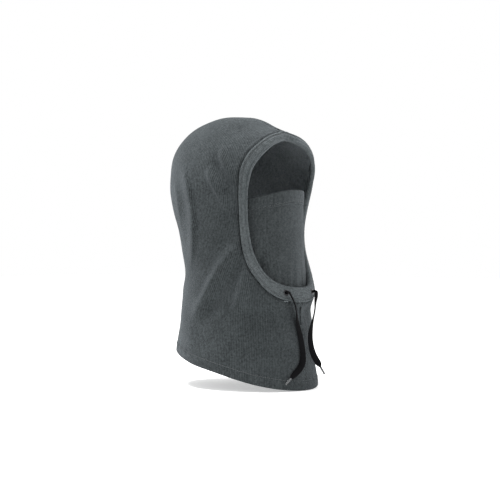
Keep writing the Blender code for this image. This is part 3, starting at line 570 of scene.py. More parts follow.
# each fold: height, width toward the front, width toward the back, route down it (y, z)
rightFolds = [
    (4.4, 12, 3.4, [(30, 306), (23, 288), (19, 262), (19, 238), (23, 214), (34, 190), (50, 172)]),
    (1.3, 8, 7, [(58, 300), (54, 272), (55, 246), (60, 224)]),
    (8.2, 9, 16, [(-48, 216), (-32, 193), (-10, 163), (14, 132), (46, 98)]),
    (-6.4, 13, 12, [(-43, 190), (-26, 164), (-6, 134), (14, 104), (34, 76)]),
    (7.2, 8, 11, [(-57, 174), (-51, 150), (-42, 124), (-30, 98)]),
    (-3.6, 9, 10, [(-64, 156), (-60, 134), (-54, 108), (-44, 84)]),
    (5.4, 4.5, 5.5, [(-22, 342), (-31, 326), (-43, 308), (-52, 290)]),
    (-4.4, 7, 8, [(-14, 326), (-28, 308), (-39, 290), (-46, 276)]),
    (5.2, 4.5, 7, [(-8, 312), (-20, 292), (-30, 272), (-43, 247)]),
    (-2.8, 5, 7, [(-30, 290), (-42, 277), (-49, 268)]),
    (1.6, 9, 10, [(-82, 104), (-79, 84), (-75, 52)]),
    (-1.6, 12, 12, [(-66, 112), (-58, 80), (-52, 46)]),
    (1.4, 16, 16, [(40, 96), (30, 74), (24, 52)])]
leftFolds = [
    (2.2, 9, 6, [(34, 300), (26, 270), (24, 236), (30, 204)]),
    (4.2, 10, 12, [(-46, 206), (-26, 182), (0, 154), (28, 126)]),
    (-3.4, 11, 10, [(-44, 180), (-24, 150), (-2, 120)]),
    (2.4, 8, 8, [(-58, 168), (-54, 146), (-50, 118)]),
    (2.0, 6, 6, [(-20, 334), (-36, 312), (-50, 286)]),
    (-2.0, 7, 8, [(-12, 316), (-30, 294), (-44, 270)]),
    (2.2, 7, 5, [(-98.2, 130), (-95.6, 96), (-97.5, 66), (-101.5, 40)]),
    (-3.6, 10, 8, [(-91, 128), (-90, 98), (-92, 70), (-95, 40)]),
    (1.8, 10, 10, [(-70, 110), (-66, 80), (-60, 48)])]


# broad fullness of both panels: height, y, z, spread front to back, spread up and down
swells = [(5.5, 84, 350, 40, 36), (-3.6, -36, 388, 22, 22), (2.8, 66, 112, 34, 34)]


def leftTuck(points):
    points = np.array(points, float)  # the left side hangs in a little beside the mask
    x, z = points[..., 0], points[..., 2]
    pull = bell(z - 228, 46) * rampUp(x, 30, 62)
    points[..., 0] -= 4.6 * pull
    points[..., 1] += 1.5 * pull * rampUp(20 - points[..., 1], 0, 50)
    return points


def foldHeight(points, normals, fold):
    height, frontWidth, backWidth, route = fold
    line = spline(route, (len(route) - 1) * 6 + 1)
    line = np.column_stack([sideX(line[:, 0], line[:, 1]), line])
    best = np.full(points.shape[:2], 1e9)
    side, along = np.zeros_like(best), np.zeros_like(best)
    run = runOf(line) / runOf(line)[-1]
    for a, b, s, e in zip(line[:-1], line[1:], run[:-1], run[1:]):
        step = b - a
        t = np.clip(((points - a) @ step) / max(step @ step, 1e-9), 0, 1)
        offset = points - (a + t[..., None] * step)
        distance = np.linalg.norm(offset, axis=-1)
        near = distance < best
        turn = np.einsum("ijk,ijk->ij", np.cross(step, offset), normals)
        best = np.where(near, distance, best)
        side = np.where(near, turn, side)
        along = np.where(near, s + (e - s) * t, along)
    width = np.where(side > 0, frontWidth, backWidth)
    fade = rampUp(along, -0.22, 0.16) * rampUp(1 - along, -0.02, 0.62)
    return height * bell(best, width) * fade


def panelRelief(points, normals, folds, phase):
    x, y, z = points[..., 0], points[..., 1], points[..., 2]
    relief = sum(foldHeight(points, normals, fold) for fold in folds)
    for height, atY, atZ, spreadY, spreadZ in swells:
        relief += height * np.exp(-((y - atY) / spreadY) ** 2 - ((z - atZ) / spreadZ) ** 2)
    toSeam = np.full(points.shape[:2], 1e9)
    place = np.zeros_like(toSeam)
    for i in range(0, 401, 4):
        distance = np.linalg.norm(points - seam[i], axis=-1)
        place = np.where(distance < toSeam, i, place)
        toSeam = np.minimum(toSeam, distance)
    pucker = np.sin(place * 0.37 + phase) + 0.6 * np.sin(place * 0.83 + 2 * phase)
    relief = relief * rampUp(toSeam, 0, 9)
    relief += 0.34 * pucker * bell(toSeam - 5, 6) - 1.3 * bell(toSeam, 2.2)
    relief += 0.7 * bell(toSeam - 4.0, 2.0)
    relief -= 0.75 * bell(x, 1.3) * np.where(y > 0, 1.0, 0.25)  # centre seams sink in
    relief += 0.10 * np.sin(z * 0.9 + phase) * bell(x - 4, 5)
    # slow waves that no cut panel is free of
    relief += 0.55 * np.sin(y * 0.050 + z * 0.021 + phase) * np.sin(z * 0.043 + 1.3 * phase)
    relief += 0.30 * np.sin(y * 0.13 - z * 0.07 + 2.1 * phase)
    fromHem = z - hemZ(y)
    relief += hood["hemPuff"] * rampUp(hood["hemLine"] + 1.5 - fromHem, 0, 2)
    relief -= 0.75 * bell(fromHem - hood["hemLine"], 1.1)
    wrap = wrapLength(y, z)
    relief += 0.30 * np.sin(wrap * 0.42 + 3 * phase) * bell(fromHem - hood["hemLine"], 7)
    relief += 0.9 * np.sin(wrap * 0.055 + phase) * rampUp(30 - fromHem, 0, 30)
    return relief


def addPanel(word, side, folds, phase):
    pole, grid = panelGrid()
    middle = np.array([0, 10, 200])
    base = gridNormals(grid, middle)
    cloth = np.stack([wrapLength(grid[..., 1], grid[..., 2]), grid[..., 2]], -1) * mm
    relief = panelRelief(grid, base, folds, phase)
    outer = grid + base * relief[..., None]
    outer[:, :, 0] = np.where(grid[:, :, 0] < 1, grid[:, :, 0], np.maximum(outer[:, :, 0], 0.15))
    if side > 0:
        outer = leftTuck(outer)
    fromHem = grid[..., 2] - hemZ(grid[..., 1])
    outer[..., 2] += hemRise(grid[..., 1]) * rampUp(60 - fromHem, 0, 60)
    normals = gridNormals(outer, middle)
    inner = outer - normals * hood["fabric"]
    # the two panels meet in the centre seams
    for sheet, half in ((outer, 0.03), (inner, 0.15)):
        sheet[hood["faceRows"] - 1:, 0, 0] = half
        sheet[:, -1, 0] = half
    inner[:, :, 0] = np.where(grid[:, :, 0] <= hood["gap"], grid[:, :, 0],
                              np.maximum(inner[:, :, 0], 0.15))
    rows, columns = grid.shape[:2]
    # the hem's fold is round
    away = unit(outer[-1] - outer[-2])
    bends = [outer[-1] * (1 - t) + inner[-1] * t + away * 1.2 * math.sin(math.pi * t)
             for t in (0.14, 0.32, 0.5, 0.68, 0.86)]
    flip = np.array([side, 1, 1])
    points = np.vstack([outer.reshape(-1, 3), inner.reshape(-1, 3), np.vstack(bends)])
    uvs = np.vstack([cloth.reshape(-1, 2)] * 2 + [cloth[-1]] * len(bends))
    half = rows * columns
    at = np.arange(half).reshape(rows, columns)
    faces = gridFaces(at)
    faces += [tuple(k + half for k in face) for face in faces]
    strips = [at[-1]] + [2 * half + k * columns + np.arange(columns)
                         for k in range(len(bends))] + [at[-1] + half]
    for low, high in zip(strips[:-1], strips[1:]):
        faces += [(low[j], low[j + 1], high[j + 1], high[j]) for j in range(columns - 1)]
    for column in (0, -1):  # closed front and back edges
        edge = at[:, column]
        faces += [(a, b, b + half, a + half) for a, b in zip(edge[:-1], edge[1:])]
        faces.append(tuple(strip[column] for strip in strips))
    poleOut = unit(np.array([0, -0.45, 0.9]))
    top, low = len(points), len(points) + 1
    points = np.vstack([points, pole, pole - poleOut * hood["fabric"]])
    uvs = np.vstack([uvs, cloth[0, 0], cloth[0, 0]])
    faces += [(top, at[0, j], at[0, j + 1]) for j in range(columns - 1)]
    faces += [(low, at[0, j] + half, at[0, j + 1] + half) for j in range(columns - 1)]
    faces += [(top, at[0, 0], at[0, 0] + half, low), (top, at[0, -1], at[0, -1] + half, low)]
    panel = makePiece(word + "_panel_cloth", points * flip, faces, fleeceBody, uvs, 55)
    panel.data.materials.append(fleeceInsidePaintedLight)
    outside, inside = [
        BVHTree.FromPolygons([tuple(p) for p in toWorld(sheet * flip).reshape(-1, 3)],
                             gridFaces(at)) for sheet in (outer, inner)]
    for face in panel.data.polygons:  # the inner side gets the much paler fleece copy: painted light that lifts the shade inside the hood
        if inside.find_nearest(face.center)[3] < outside.find_nearest(face.center)[3]:
            face.material_index = 1
    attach(panel, "hood")
    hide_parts(word + "_side_panel")
    return panel


rightPanel = addPanel("right", -1, rightFolds, 0.4)
leftPanel = addPanel("left", 1, leftFolds, 2.1)
print("panels ready")

casing = {"floor": -2.8, "tunnelLow": -1.2, "tunnelHigh": 1.8, "roof": 3.4, "stitch": 3.5,
          "puff": 0.5, "stitchDent": 0.8, "innerFold": 4.8, "holeRadius": 3.15}


def casingFrames():
    both = seam + rim
    ahead = np.vstack([both[1:], both[-2] * mirror]) - np.vstack([both[1] * mirror, both[:-1]])
    across, along = unit(rim - seam), unit(ahead)
    out = unit(np.cross(across, along))
    out *= np.sign(np.sum(out * (seam - np.array([0, 30, 250])), axis=1))[:, None]
    out[0, 0] = out[-1, 0] = 0
    return across, unit(out), np.linalg.norm(rim - seam, axis=1), along


across, outward, bandWidth, along = casingFrames()


def panelTurn():
    lift = []
    for (x, y, z), band in zip(seam, across):
        e = 0.5
        yIn = y + (1.5 if abs(x) < 1 else 0)
        base = max(float(sideX(yIn, z)), 1.0)
        dy = (float(sideX(yIn + e, z)) - base) / e
        dz = (float(sideX(yIn, z + e)) - float(sideX(yIn, z - e))) / (2 * e)
        sine = np.clip(-unit(np.array([1.0, -dy, -dz])).dot(band), 0, 0.9)
        lift.append(sine / math.sqrt(1 - sine**2))
    return np.convolve(np.pad(lift, 40, mode="edge"), np.ones(81) / 81, mode="valid")


def casingSection(width, turn, share, run):
    c = casing
    rise = c["roof"]
    folded = rampUp(share, 0.16, 0.30) * rampUp(0.97 - share, 0, 0.2)  # inner leaf shows here
    u = np.concatenate([[0.3, 0.6, 1.1, 1.8, 2.5, 3.0, 3.5, 4.0, 4.5, 5.3],
                        np.linspace(6.3, width - 6.6, 6),
                        width - np.array([5.8, 5.2, 4.8, 4.4, 3.8, 3.0, 2.3, 1.7])])
    height = rise - 1.5 * np.exp(-(u - 0.3) / 0.55)
    height += c["puff"] * np.sin(math.pi * np.clip((u - 4) / (width - 8), 0, 1))
    height -= c["stitchDent"] * bell(u - c["stitch"], 0.75)
    height += folded * (0.35 * bell(u - width + 2.2, 1.2) - 0.8 * bell(u - width / 2, width / 5)
                        - 1.3 * bell(u - width + c["innerFold"], 0.95))
    height += 0.16 * math.sin(run * 0.62) * bell(u - width / 2, width / 3.2)
    height += 0.12 * math.sin(run * 1.35 + 1) * bell(u - 2.2, 1.6)
    turned = [(width - 0.95, rise - 0.55), (width - 0.4, rise - 1.5), (width - 0.08, 1.2),
              (width, 0.3), (width - 0.08, -0.8), (width - 0.45, -1.8), (width - 1.1, -2.5),
              (width - 2, c["floor"])]
    innerBase = 0.7 + 3.1 * turn
    inside = [(width - 4, c["floor"]), ((width + innerBase) / 2, c["floor"]),
              (innerBase, c["floor"]), (innerBase, c["tunnelLow"]),
              (width - 3, c["tunnelLow"]), (width - 2.1, 0.3), (width - 3, c["tunnelHigh"]),
              (0.4 * width, c["tunnelHigh"]), (0.3, c["tunnelHigh"])]
    return np.array(list(zip(u, height)) + turned + inside)


def eyeletFrame(side):
    middle = seam + across * (bandWidth / 2)[:, None]
    late = np.arange(200, 401)
    i = late[np.argmin(np.abs(middle[late, 0] - 28.8))]
    flip = np.array([side, 1, 1])
    return middle[i] * flip, outward[i] * flip, along[i] * flip, across[i] * flip


def addCasing():
    turn = panelTurn()
    run = runOf(seam + rim) / 2
    half, flat = [], []
    for i in range(401):
        section = casingSection(bandWidth[i], turn[i], i / 400, run[i])
        half.append(seam[i] + np.outer(section[:, 0], across[i])
                    + np.outer(section[:, 1], outward[i]))
        flat.append(np.column_stack([runOf(section), np.full(len(section), run[i])]) * mm)
    half, flat = np.array(half), np.array(flat)
    half[0, :, 0] = half[-1, :, 0] = 0
    loop = np.concatenate([leftTuck(half), half[-2:0:-1] * mirror])
    uvs = np.concatenate([flat, flat[-2:0:-1]])
    # the band wears the paler fleece copy: painted light on the casing
    piece = loft("casing_band", loop, fleeceBandPaintedLight, uvs, closed=True, sharp=70)
    for side in (-1, 1):
        centre, normal = eyeletFrame(side)[:2]
        work = bmesh.new()
        bmesh.ops.create_cone(work, cap_ends=True, segments=40, radius1=casing["holeRadius"] * mm,
                              radius2=casing["holeRadius"] * mm, depth=5 * mm)
        mesh = bpy.data.meshes.new("punch")
        work.to_mesh(mesh)
        work.free()
        punch = addObject("punch", mesh)
        punch.location = toWorld(centre + normal * 3.2)
        punch.rotation_mode = "QUATERNION"
        punch.rotation_quaternion = Vector(normal).to_track_quat("Z", "Y")
        bpy.context.view_layer.update()
        hole = piece.modifiers.new("hole", "BOOLEAN")
        hole.object, hole.operation, hole.solver = punch, "DIFFERENCE", "EXACT"
        ready = piece.evaluated_get(bpy.context.evaluated_depsgraph_get())
        cut = bpy.data.meshes.new_from_object(ready)
        piece.modifiers.clear()
        piece.data = cut
        bpy.data.objects.remove(punch, do_unlink=True)
    piece.data.name = "casing_band"
    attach(piece, "hood")
    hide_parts("face_casing")
    return piece


casingBand = addCasing()
print("casing ready")

mask = {"halfWidth": 65.0, "centreY": -8.0, "thick": 1.8, "hem": 18.0, "hemThick": 3.4,
        "topFront": 290.0, "topDrop": 16.0, "columns": 170, "rows": 110, "hemRows": 22,
        "gather": 3.2}
maskFront = np.array([(130, -90), (154, -88), (180, -88), (200, -88), (240, -86.5),
                      (300, -86)], float)


def maskTop(angle):
    power = 1.6 if angle < 0 else 4.5  # it stands up a little more on the left
    corner = 2.6 * float(bell(angle - 0.74, 0.2))
    return mask["topFront"] + corner - mask["topDrop"] * abs(math.sin(angle)) ** power


def maskFoot(angle):
    share = abs(angle) / (math.pi / 2)
    place = 400 - 165 * share
    i = int(round(place))
    spot = seam[i] + across[i] - outward[i] * (2.2 - casing["floor"] + 4.0 * share)
    return spot * np.array([1 if angle >= 0 else -1, 1, 1])


def maskTube(angle, z):
    front = smoothTable(z, maskFront, 1)
    x = np.full_like(front, mask["halfWidth"] * math.sin(angle))
    return np.column_stack([x, mask["centreY"] + (front - mask["centreY"]) * math.cos(angle), z])


def maskColumn(angle, low, high, rows):
    z = np.linspace(low, high, rows + 1)
    foot = maskFoot(angle)
    top = maskTop(angle)
    up = np.clip((z - foot[2]) / (top - foot[2]), 0, 1)
    pull = foot - maskTube(angle, np.array([foot[2]]))[0]
    return maskTube(angle, z) + pull * ((1 - up) ** 6)[:, None], up


def openNormals(grid):
    return surfaceNormals(grid, 2 * grid[:, :1] - grid[:, 1:2],
                          2 * grid[:, -1:] - grid[:, -2:-1])

def crease(turn):
    return 1.9 * bell(turn - 0.74, 0.11)  # where the front turns to the left side


def sheetSolid(name, outer, thick, material, uvs):
    normals = openNormals(outer)  # a sheet with round edges all the way
    inner = outer - normals * thick
    rows, columns = outer.shape[:2]
    half = rows * columns
    at = np.arange(half).reshape(rows, columns)
    faces = gridFaces(at)
    faces += [tuple(k + half for k in face) for face in faces]
    ring = np.concatenate([at[0, :], at[1:, -1], at[-1, -2::-1], at[-2:0:-1, 0]])
    flatOuter = outer.reshape(-1, 3)
    flatInner = inner.reshape(-1, 3)
    inward = np.concatenate([at[1, :], at[1:, -2], at[-2, -2::-1], at[-2:0:-1, 1]])
    away = unit(flatOuter[ring] - flatOuter[inward])
    points = [flatOuter, flatInner]
    flat = [uvs.reshape(-1, 2)] * 2
    strips = [ring]
    for k, t in enumerate((0.2, 0.5, 0.8)):
        bend = (flatOuter[ring] * (1 - t) + flatInner[ring] * t
                + away * 0.45 * thick * math.sin(math.pi * t))
        points.append(bend)
        flat.append(uvs.reshape(-1, 2)[ring])
        strips.append(2 * half + k * len(ring) + np.arange(len(ring)))
    strips.append(ring + half)
    count = len(ring)
    for low, high in zip(strips[:-1], strips[1:]):
        faces += [(low[j], low[(j + 1) % count], high[(j + 1) % count], high[j])
                  for j in range(count)]
    return makePiece(name, np.vstack(points), faces, material, np.vstack(flat), 60)


def addMask():
    angles = np.linspace(-math.pi / 2, math.pi / 2, mask["columns"] + 1)
    grid, ups = [], []
    for angle in angles:
        column, up = maskColumn(angle, maskFoot(angle)[2], maskTop(angle) - mask["hem"] - 0.3,
                                mask["rows"])
        grid.append(column)
        ups.append(up)
    grid, up = np.array(grid).swapaxes(0, 1), np.array(ups).T
    turn = np.broadcast_to(angles, up.shape)
    pleat = (np.sin(turn * 27 + 0.6) + 0.6 * np.sin(turn * 43 + 2.0)
             + 0.5 * np.sin(turn * 15 + 4.1))
    relief = mask["gather"] * pleat * 0.5 * np.exp(-up / 0.17) * rampUp(up, 0, 0.03)
    relief += 0.35 * np.sin(turn * 9 + 1.0) * np.sin(up * 5 + 0.7)
    relief += 0.3 * np.sin(turn * 61 + up * 3) * rampUp(up, 0.90, 1.0)
    relief -= 0.5 * rampUp(up, 0.84, 0.88)
    relief += crease(turn) * rampUp(up, 0.35, 1.0)
    relief -= 4.5 * bell(turn + 0.72, 0.24) * bell(up - 0.17, 0.14)  # hollow beside the chin
    normals = openNormals(grid)
    outer = grid + normals * relief[..., None]
    flat = np.stack([turn * 80, grid[..., 2]], -1) * mm
    cloth = sheetSolid("mask_cloth", outer, mask["thick"], fleeceMask, flat)
    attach(cloth, "hood")
    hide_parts("mask_panel")

    grid = []
    for angle in angles:
        top = maskTop(angle)
        grid.append(maskColumn(angle, top - mask["hem"], top, mask["hemRows"])[0])
    grid = np.array(grid).swapaxes(0, 1)
    share = np.linspace(0, 1, mask["hemRows"] + 1)[:, None] * np.ones((1, len(angles)))
    turn = np.broadcast_to(angles, share.shape)
    relief = (0.5 - 0.55 * bell(share * mask["hem"] - 2.5, 1.0)
              + 0.35 * np.sin(math.pi * np.clip(share * 1.15 - 0.15, 0, 1))
              + 0.16 * np.sin(turn * 58 + 1) * bell(share * mask["hem"] - 3, 5)
              + 0.35 * np.sin(turn * 9 + 1.0) * math.sin(5.7) + crease(turn))
    outer = grid + openNormals(grid) * relief[..., None]
    flat = np.stack([turn * 80, grid[..., 2]], -1) * mm
    hem = sheetSolid("mask_hem_fold", outer, mask["hemThick"], fleeceMask, flat)
    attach(hem, "mask_top")
    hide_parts("mask_top_hem")
    return cloth, hem


maskCloth, maskHem = addMask()
print("mask ready")


stitches = {"pitch": 2.9, "length": 2.2, "radius": 0.36, "lift": 0.12}


def stitchTree(material):
    tree = bpy.data.node_groups.new("sewnLine", "GeometryNodeTree")
    face = tree.interface
    face.new_socket("Line", in_out="INPUT", socket_type="NodeSocketGeometry")
    for name in ("Pitch", "Length", "Radius"):
        face.new_socket(name, in_out="INPUT", socket_type="NodeSocketFloat")
    face.new_socket("Stitches", in_out="OUTPUT", socket_type="NodeSocketGeometry")
    start, end, spaced, tangent, aim, ball, size, scale, half, place, real, smooth, finish = [
        tree.nodes.new(kind) for kind in (
            "NodeGroupInput", "NodeGroupOutput", "GeometryNodeResampleCurve",
            "GeometryNodeInputTangent", "FunctionNodeAlignRotationToVector",
            "GeometryNodeMeshUVSphere", "GeometryNodeTransform", "ShaderNodeCombineXYZ",
            "ShaderNodeMath", "GeometryNodeInstanceOnPoints", "GeometryNodeRealizeInstances",
            "GeometryNodeSetShadeSmooth", "GeometryNodeSetMaterial")]
    spaced.mode, aim.axis, half.operation = "LENGTH", "X", "MULTIPLY"
    half.inputs[1].default_value = 0.5
    for name, value in (("Segments", 8), ("Rings", 6), ("Radius", 1.0)):
        ball.inputs[name].default_value = value
    finish.inputs["Material"].default_value = material
    for source, output, target, socket in (
            (start, "Line", spaced, "Curve"), (start, "Pitch", spaced, "Length"),
            (start, "Length", half, 0), (half, 0, scale, "X"),
            (start, "Radius", scale, "Y"), (start, "Radius", scale, "Z"),
            (ball, "Mesh", size, "Geometry"), (scale, 0, size, "Scale"),
            (spaced, "Curve", place, "Points"), (size, "Geometry", place, "Instance"),
            (tangent, "Tangent", aim, "Vector"), (aim, "Rotation", place, "Rotation"),
            (place, "Instances", real, "Geometry"), (real, "Geometry", smooth, "Geometry"),
            (smooth, "Geometry", finish, "Geometry"), (finish, "Geometry", end, "Stitches")):
        tree.links.new(source.outputs[output], target.inputs[socket])
    return tree

sewnLine = stitchTree(seamThread)


def sewnPiece(name, points, closed, body, replaced, on):
    trees = [BVHTree.FromObject(o, bpy.context.evaluated_depsgraph_get()) for o in on]
    snapped = []
    for p in toWorld(points):  # lay the line on the cloth
        hits = [t.find_nearest(Vector(p)) for t in trees]
        spot, normal, _, _ = min(hits, key=lambda h: h[3])
        if (Vector(p) - spot).dot(normal) < 0:
            normal = -normal
        snapped.append(spot + normal * stitches["lift"] * mm)
    curve = bpy.data.curves.new(name, "CURVE")
    curve.dimensions = "3D"
    line = curve.splines.new("POLY")
    line.points.add(len(snapped) - 1)
    for point, spot in zip(line.points, snapped):
        point.co = (*spot, 1)
    line.use_cyclic_u = closed
    guide = addObject(name + "_guide", curve)
    modifier = guide.modifiers.new("sewn", "NODES")
    modifier.node_group = sewnLine
    for item in sewnLine.interface.items_tree:
        if item.name in ("Pitch", "Length", "Radius"):
            modifier[item.identifier] = stitches[item.name.lower()] * mm
    ready = guide.evaluated_get(bpy.context.evaluated_depsgraph_get())
    mesh = bpy.data.meshes.new_from_object(ready)
    bpy.data.objects.remove(guide, do_unlink=True)
    mesh.name = name
    piece = addObject(name, mesh)
    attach(piece, body)
    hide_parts(replaced)
    return piece


def hemLinePoints(count):
    points = []
    for a in np.linspace(0, 2 * math.pi, count, endpoint=False):
        y = z = 0.0
        for _ in range(12):
            front, back, half, mid = (float(v) for v in outline(z))
            reach = (mid - front) if math.cos(a) > 0 else (back - mid)
            y = mid - reach * math.cos(a)
            z = float(hemZ(y)) + hood["hemLine"]
        n = unit(np.array([math.sin(a) / half, -math.cos(a) / reach, 0.0]))
        z += hemRise(y) * 0.88
        points.append(np.array([half * math.sin(a), y, z]) + n * 2.0)
    return points


def casingLine(distance, lift):
    row = seam + across * distance + outward * (casing["roof"] + lift)
    row[0, 0] = row[-1, 0] = 0
    return np.vstack([leftTuck(row), row[-2:0:-1] * mirror])


sewnPiece("hem_stitches", hemLinePoints(240), True, "hood", "hem_stitching",
          [rightPanel, leftPanel])
sewnPiece("casing_stitches", casingLine(casing["stitch"], 1.2)[::2], True, "hood",
          "casing_stitching", [casingBand])
maskLine = []
for angle in np.linspace(-math.pi / 2 * 0.97, math.pi / 2 * 0.97, 120):
    lowZ = maskTop(angle) - mask["hem"] + 2.5
    spot = maskColumn(angle, lowZ, lowZ + 1, 1)[0][0]
    maskLine.append(spot + unit(spot - np.array([0, 0, lowZ])) * 2.0)
maskStitches = sewnPiece("mask_stitches", maskLine, False, "mask_top", "mask_hem_stitching",
                         [maskHem])
print("stitches ready")

overlock = {"width": 5.0, "thick": 1.6, "thread": 0.22, "pitch": 1.5}


def addOverlock(name, line, replaced):
    line = even(np.asarray(line), 220)
    ahead = unit(np.gradient(line, axis=0))
    normal = np.column_stack([np.zeros(len(line)), ahead[:, 1], -ahead[:, 0]])
    middle = np.column_stack([np.zeros(len(line)), line])
    normal *= np.sign(np.sum(normal * (np.array([0, 5, 230]) - middle), axis=1))[:, None]
    # the strip follows the dip behind the casing
    dent = 4.4 * bell(np.hypot(line[:, 0] + 36, line[:, 1] - 388), 26)
    middle += normal * dent[:, None]
    depth = hood["fabric"] + hood["gap"] + 1.2
    wide, thick = overlock["width"], overlock["thick"]
    section = [(-0.5, 0), (0.5, 0), (0.52, 0.35), (0.5, 0.7), (0.42, 0.92), (0.3, 1),
               (0, 1.04), (-0.3, 1), (-0.42, 0.92), (-0.5, 0.7), (-0.52, 0.35)]
    run = runOf(line)
    rings, uvs = [], []
    for spot, way, s in zip(middle, normal, run):
        wave = 1 + 0.05 * math.sin(s * 0.8)
        rings.append([spot + way * (depth + b * thick) + np.array([a * wide * wave, 0, 0])
                      for a, b in section])
        uvs.append([(a * wide * mm, s * mm) for a, b in section])
    # the strip wears the paler inside fleece copy: painted light where it sits in shade
    strip = loft(name + "_strip", rings, fleeceInsidePaintedLight, uvs, sharp=60)
    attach(strip, "hood")
    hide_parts(replaced)
    steps = int(run[-1] / overlock["pitch"])
    at = np.linspace(1.0, run[-1] - 1.0, steps)
    zig = []
    for k, s in enumerate(at):
        spot = np.array([np.interp(s, run, middle[:, c]) for c in range(3)])
        way = unit(np.array([np.interp(s, run, normal[:, c]) for c in range(3)]))
        side = 1 if k % 2 else -1
        zig += [spot + way * (depth + thick * 1.12) + np.array([side * wide * 0.38, 0, 0]),
                spot + way * (depth + thick * 0.55) + np.array([side * wide * 0.56, 0, 0])]
    thread = tube(name + "_thread", zig, overlock["thread"], seamThread, 6)
    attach(thread, "hood")


starts, ends = panelRows(20, 7)
addOverlock("centre_overlock", ends[1:], "centre_seam_overlock")
addOverlock("chin_overlock", starts[21:], "front_seam_overlock")

foot = []
for angle in np.linspace(-math.pi / 2, math.pi / 2, 160):
    low, _ = maskColumn(angle, maskFoot(angle)[2], maskFoot(angle)[2] + 2, 1)
    inward = unit(np.array([0, 0, low[0][2]]) - low[0])
    foot.append(low[0] + inward * (mask["thick"] + 1.7) + np.array([0, 0, 1.0]))
maskCord = tube("mask_seam_binding", foot, 0.9, fleeceMask, 10)
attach(maskCord, "hood")
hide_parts("mask_seam_overlock")
print("seam allowances ready")

eyelet = {"bore": 2.4, "barrel": 3.0, "flange": 4.4, "rim": 0.75, "steps": 64}


def lathe(name, shape, centre, axis, material):
    axis = unit(np.asarray(axis, float))
    side = unit(np.cross(axis, (0, 0, 1)))
    up = np.cross(side, axis)
    rings = []
    for a in np.arange(eyelet["steps"]) * 2 * math.pi / eyelet["steps"]:
        spoke = side * math.cos(a) + up * math.sin(a)
        rings.append([centre + spoke * r + axis * h for r, h in shape])
    return loft(name, rings, material, closed=True, sharp=55)


def addEyelet(side, word):
    centre, normal, _, _ = eyeletFrame(side)
    low, seat = casing["tunnelHigh"] - 0.4, casing["roof"] + 0.3
    bore, barrel, flange = eyelet["bore"], eyelet["barrel"], eyelet["flange"]
    shape = [(bore, low), (barrel, low), (barrel, seat), (flange - 0.15, seat - 0.05),
             (flange, seat + 0.12)]
    for t in np.linspace(0.08, 0.92, 9):  # rolled flange
        a = math.pi * t
        shape.append(((flange + bore) / 2 + (flange - bore) / 2 * math.cos(a),
                      seat + 0.1 + eyelet["rim"] * math.sin(a) ** 0.8))
    shape.append((bore, seat + 0.1))
    ring = lathe(word + "_eyelet_ring", shape, centre, normal, blackMetal)
    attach(ring, "hood")
    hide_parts(word + "_eyelet")


def addTunnelCord():
    middle = seam + across * np.minimum(bandWidth - 6.9, bandWidth / 2)[:, None]
    centre, normal, way, band = eyeletFrame(1)
    pathX = seam[:, 0] + across[:, 0] * bandWidth / 2
    last = [i for i in range(200, 401) if pathX[i] > 28.8 + 9][-1]
    stations = []
    for i in np.linspace(0, last, 110).round().astype(int):
        stations.append((middle[i], across[i], outward[i], laces["width"], laces["thick"]))
    pivot = np.array(leftRoute[0][:3])
    for back, rise, lean, width, thick in ((6.0, 0.0, 0, 6.8, 1.4), (3.2, 0.0, 8, 4.2, 1.4),
                                           (1.2, 0.2, 40, 3.4, 1.5), (0.2, 1.3, 75, 3.2, 1.9),
                                           (0.0, 3.0, 90, 3.4, 2.1), (0.0, 4.6, 90, 3.6, 2.2)):
        a = math.radians(lean)
        high = normal * math.cos(a) - way * math.sin(a)
        stations.append((centre - way * back + normal * rise, band, high, width, thick))
    top = centre + normal * 4.6
    for t in (0.35, 0.7, 1.0):  # it bends over the flange to where the free end starts
        stations.append((top + (pivot - top) * t, band, high, 3.6 + 0.5 * t, 2.2 - 0.2 * t))
    rings, uvs, run = [], [], 0.0
    before = stations[0][0]
    for spot, wide, high, width, thick in stations:
        run += float(np.linalg.norm(spot - before))
        before = spot
        a, b = flatSection(width, thick)
        rings.append(spot + np.outer(a, wide) + np.outer(b, high))
        uvs.append(np.column_stack([a / width, np.full(len(a), run * mm)]))
    half, flat = np.array(rings), np.array(uvs)
    half[0, :, 0] = 0
    whole = np.concatenate([half[:0:-1] * mirror, leftTuck(half)])
    cord = loft("tunnel_cord", whole, blackBraid, np.concatenate([flat[:0:-1], flat]))
    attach(cord, "hood")
    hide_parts("casing_cord")


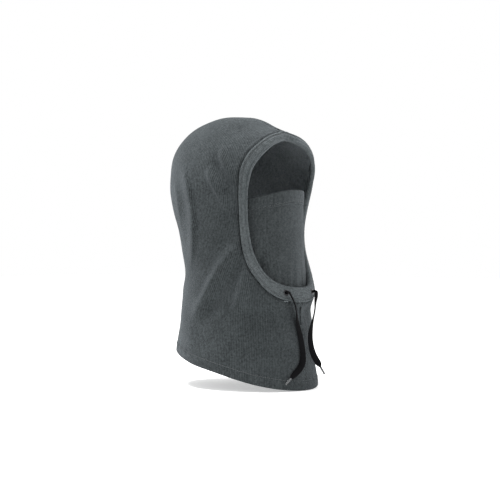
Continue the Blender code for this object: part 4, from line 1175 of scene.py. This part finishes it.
addEyelet(-1, "right")
addEyelet(1, "left")
addTunnelCord()
for word in ("right", "left"):
    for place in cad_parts[word + "_eyelet_washer"].material_slots:
        place.material = blackMetal
print("eyelets ready")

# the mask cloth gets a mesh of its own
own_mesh(maskCloth)

studio = {"backdrop": 1.0, "ambient": 0.84, "key": 33.0, "side": 4.4, "front": 3.0}


def addFloor():
    z = float(cadBox[0][2]) - 0.0012
    mesh = bpy.data.meshes.new("floor")
    mesh.from_pydata([(-6, -6, z), (6, -6, z), (6, 6, z), (-6, 6, z)], [], [(0, 1, 2, 3)])
    mesh.materials.append(floorMaterial())
    floor = addObject("floor", mesh)


def addLight(name, spot, aim, size, power):
    data = bpy.data.lights.new(name, "AREA")
    data.shape, data.size, data.energy = "DISK", size, power
    light = addObject(name, data)
    light.location = spot
    light.rotation_mode = "QUATERNION"
    light.rotation_quaternion = (Vector(aim) - Vector(spot)).to_track_quat("-Z", "Y")


def addStudio():
    world = bpy.data.worlds.new("paleStudio")
    world.use_nodes = True
    nodes, link = world.node_tree.nodes, world.node_tree.links.new
    backdrop, rays = nodes["Background"], nodes.new("ShaderNodeLightPath")
    backdrop.inputs["Color"].default_value = (1, 1, 1, 1)
    strength = nodes.new("ShaderNodeMapRange")  # the backdrop shows whiter than it lights
    strength.inputs["To Min"].default_value = studio["ambient"]
    strength.inputs["To Max"].default_value = studio["backdrop"]
    link(rays.outputs["Is Camera Ray"], strength.inputs["Value"])
    link(strength.outputs["Result"], backdrop.inputs["Strength"])
    bpy.context.scene.world = world
    addLight("topLight", (-0.38, 0.28, 1.15), (0, 0, -0.15), 0.45, studio["key"])
    addLight("rightLight", (1.0, -0.95, 0.35), (0, 0, -0.2), 0.8, studio["side"])
    addLight("frontLight", (-0.45, -1.3, 0.25), (0, -0.05, -0.12), 0.6, studio["front"])
    look = bpy.context.scene.view_settings
    look.view_transform, look.look, look.exposure, look.gamma = "Standard", "None", 0, 1


addFloor()
addStudio()
print("studio ready")
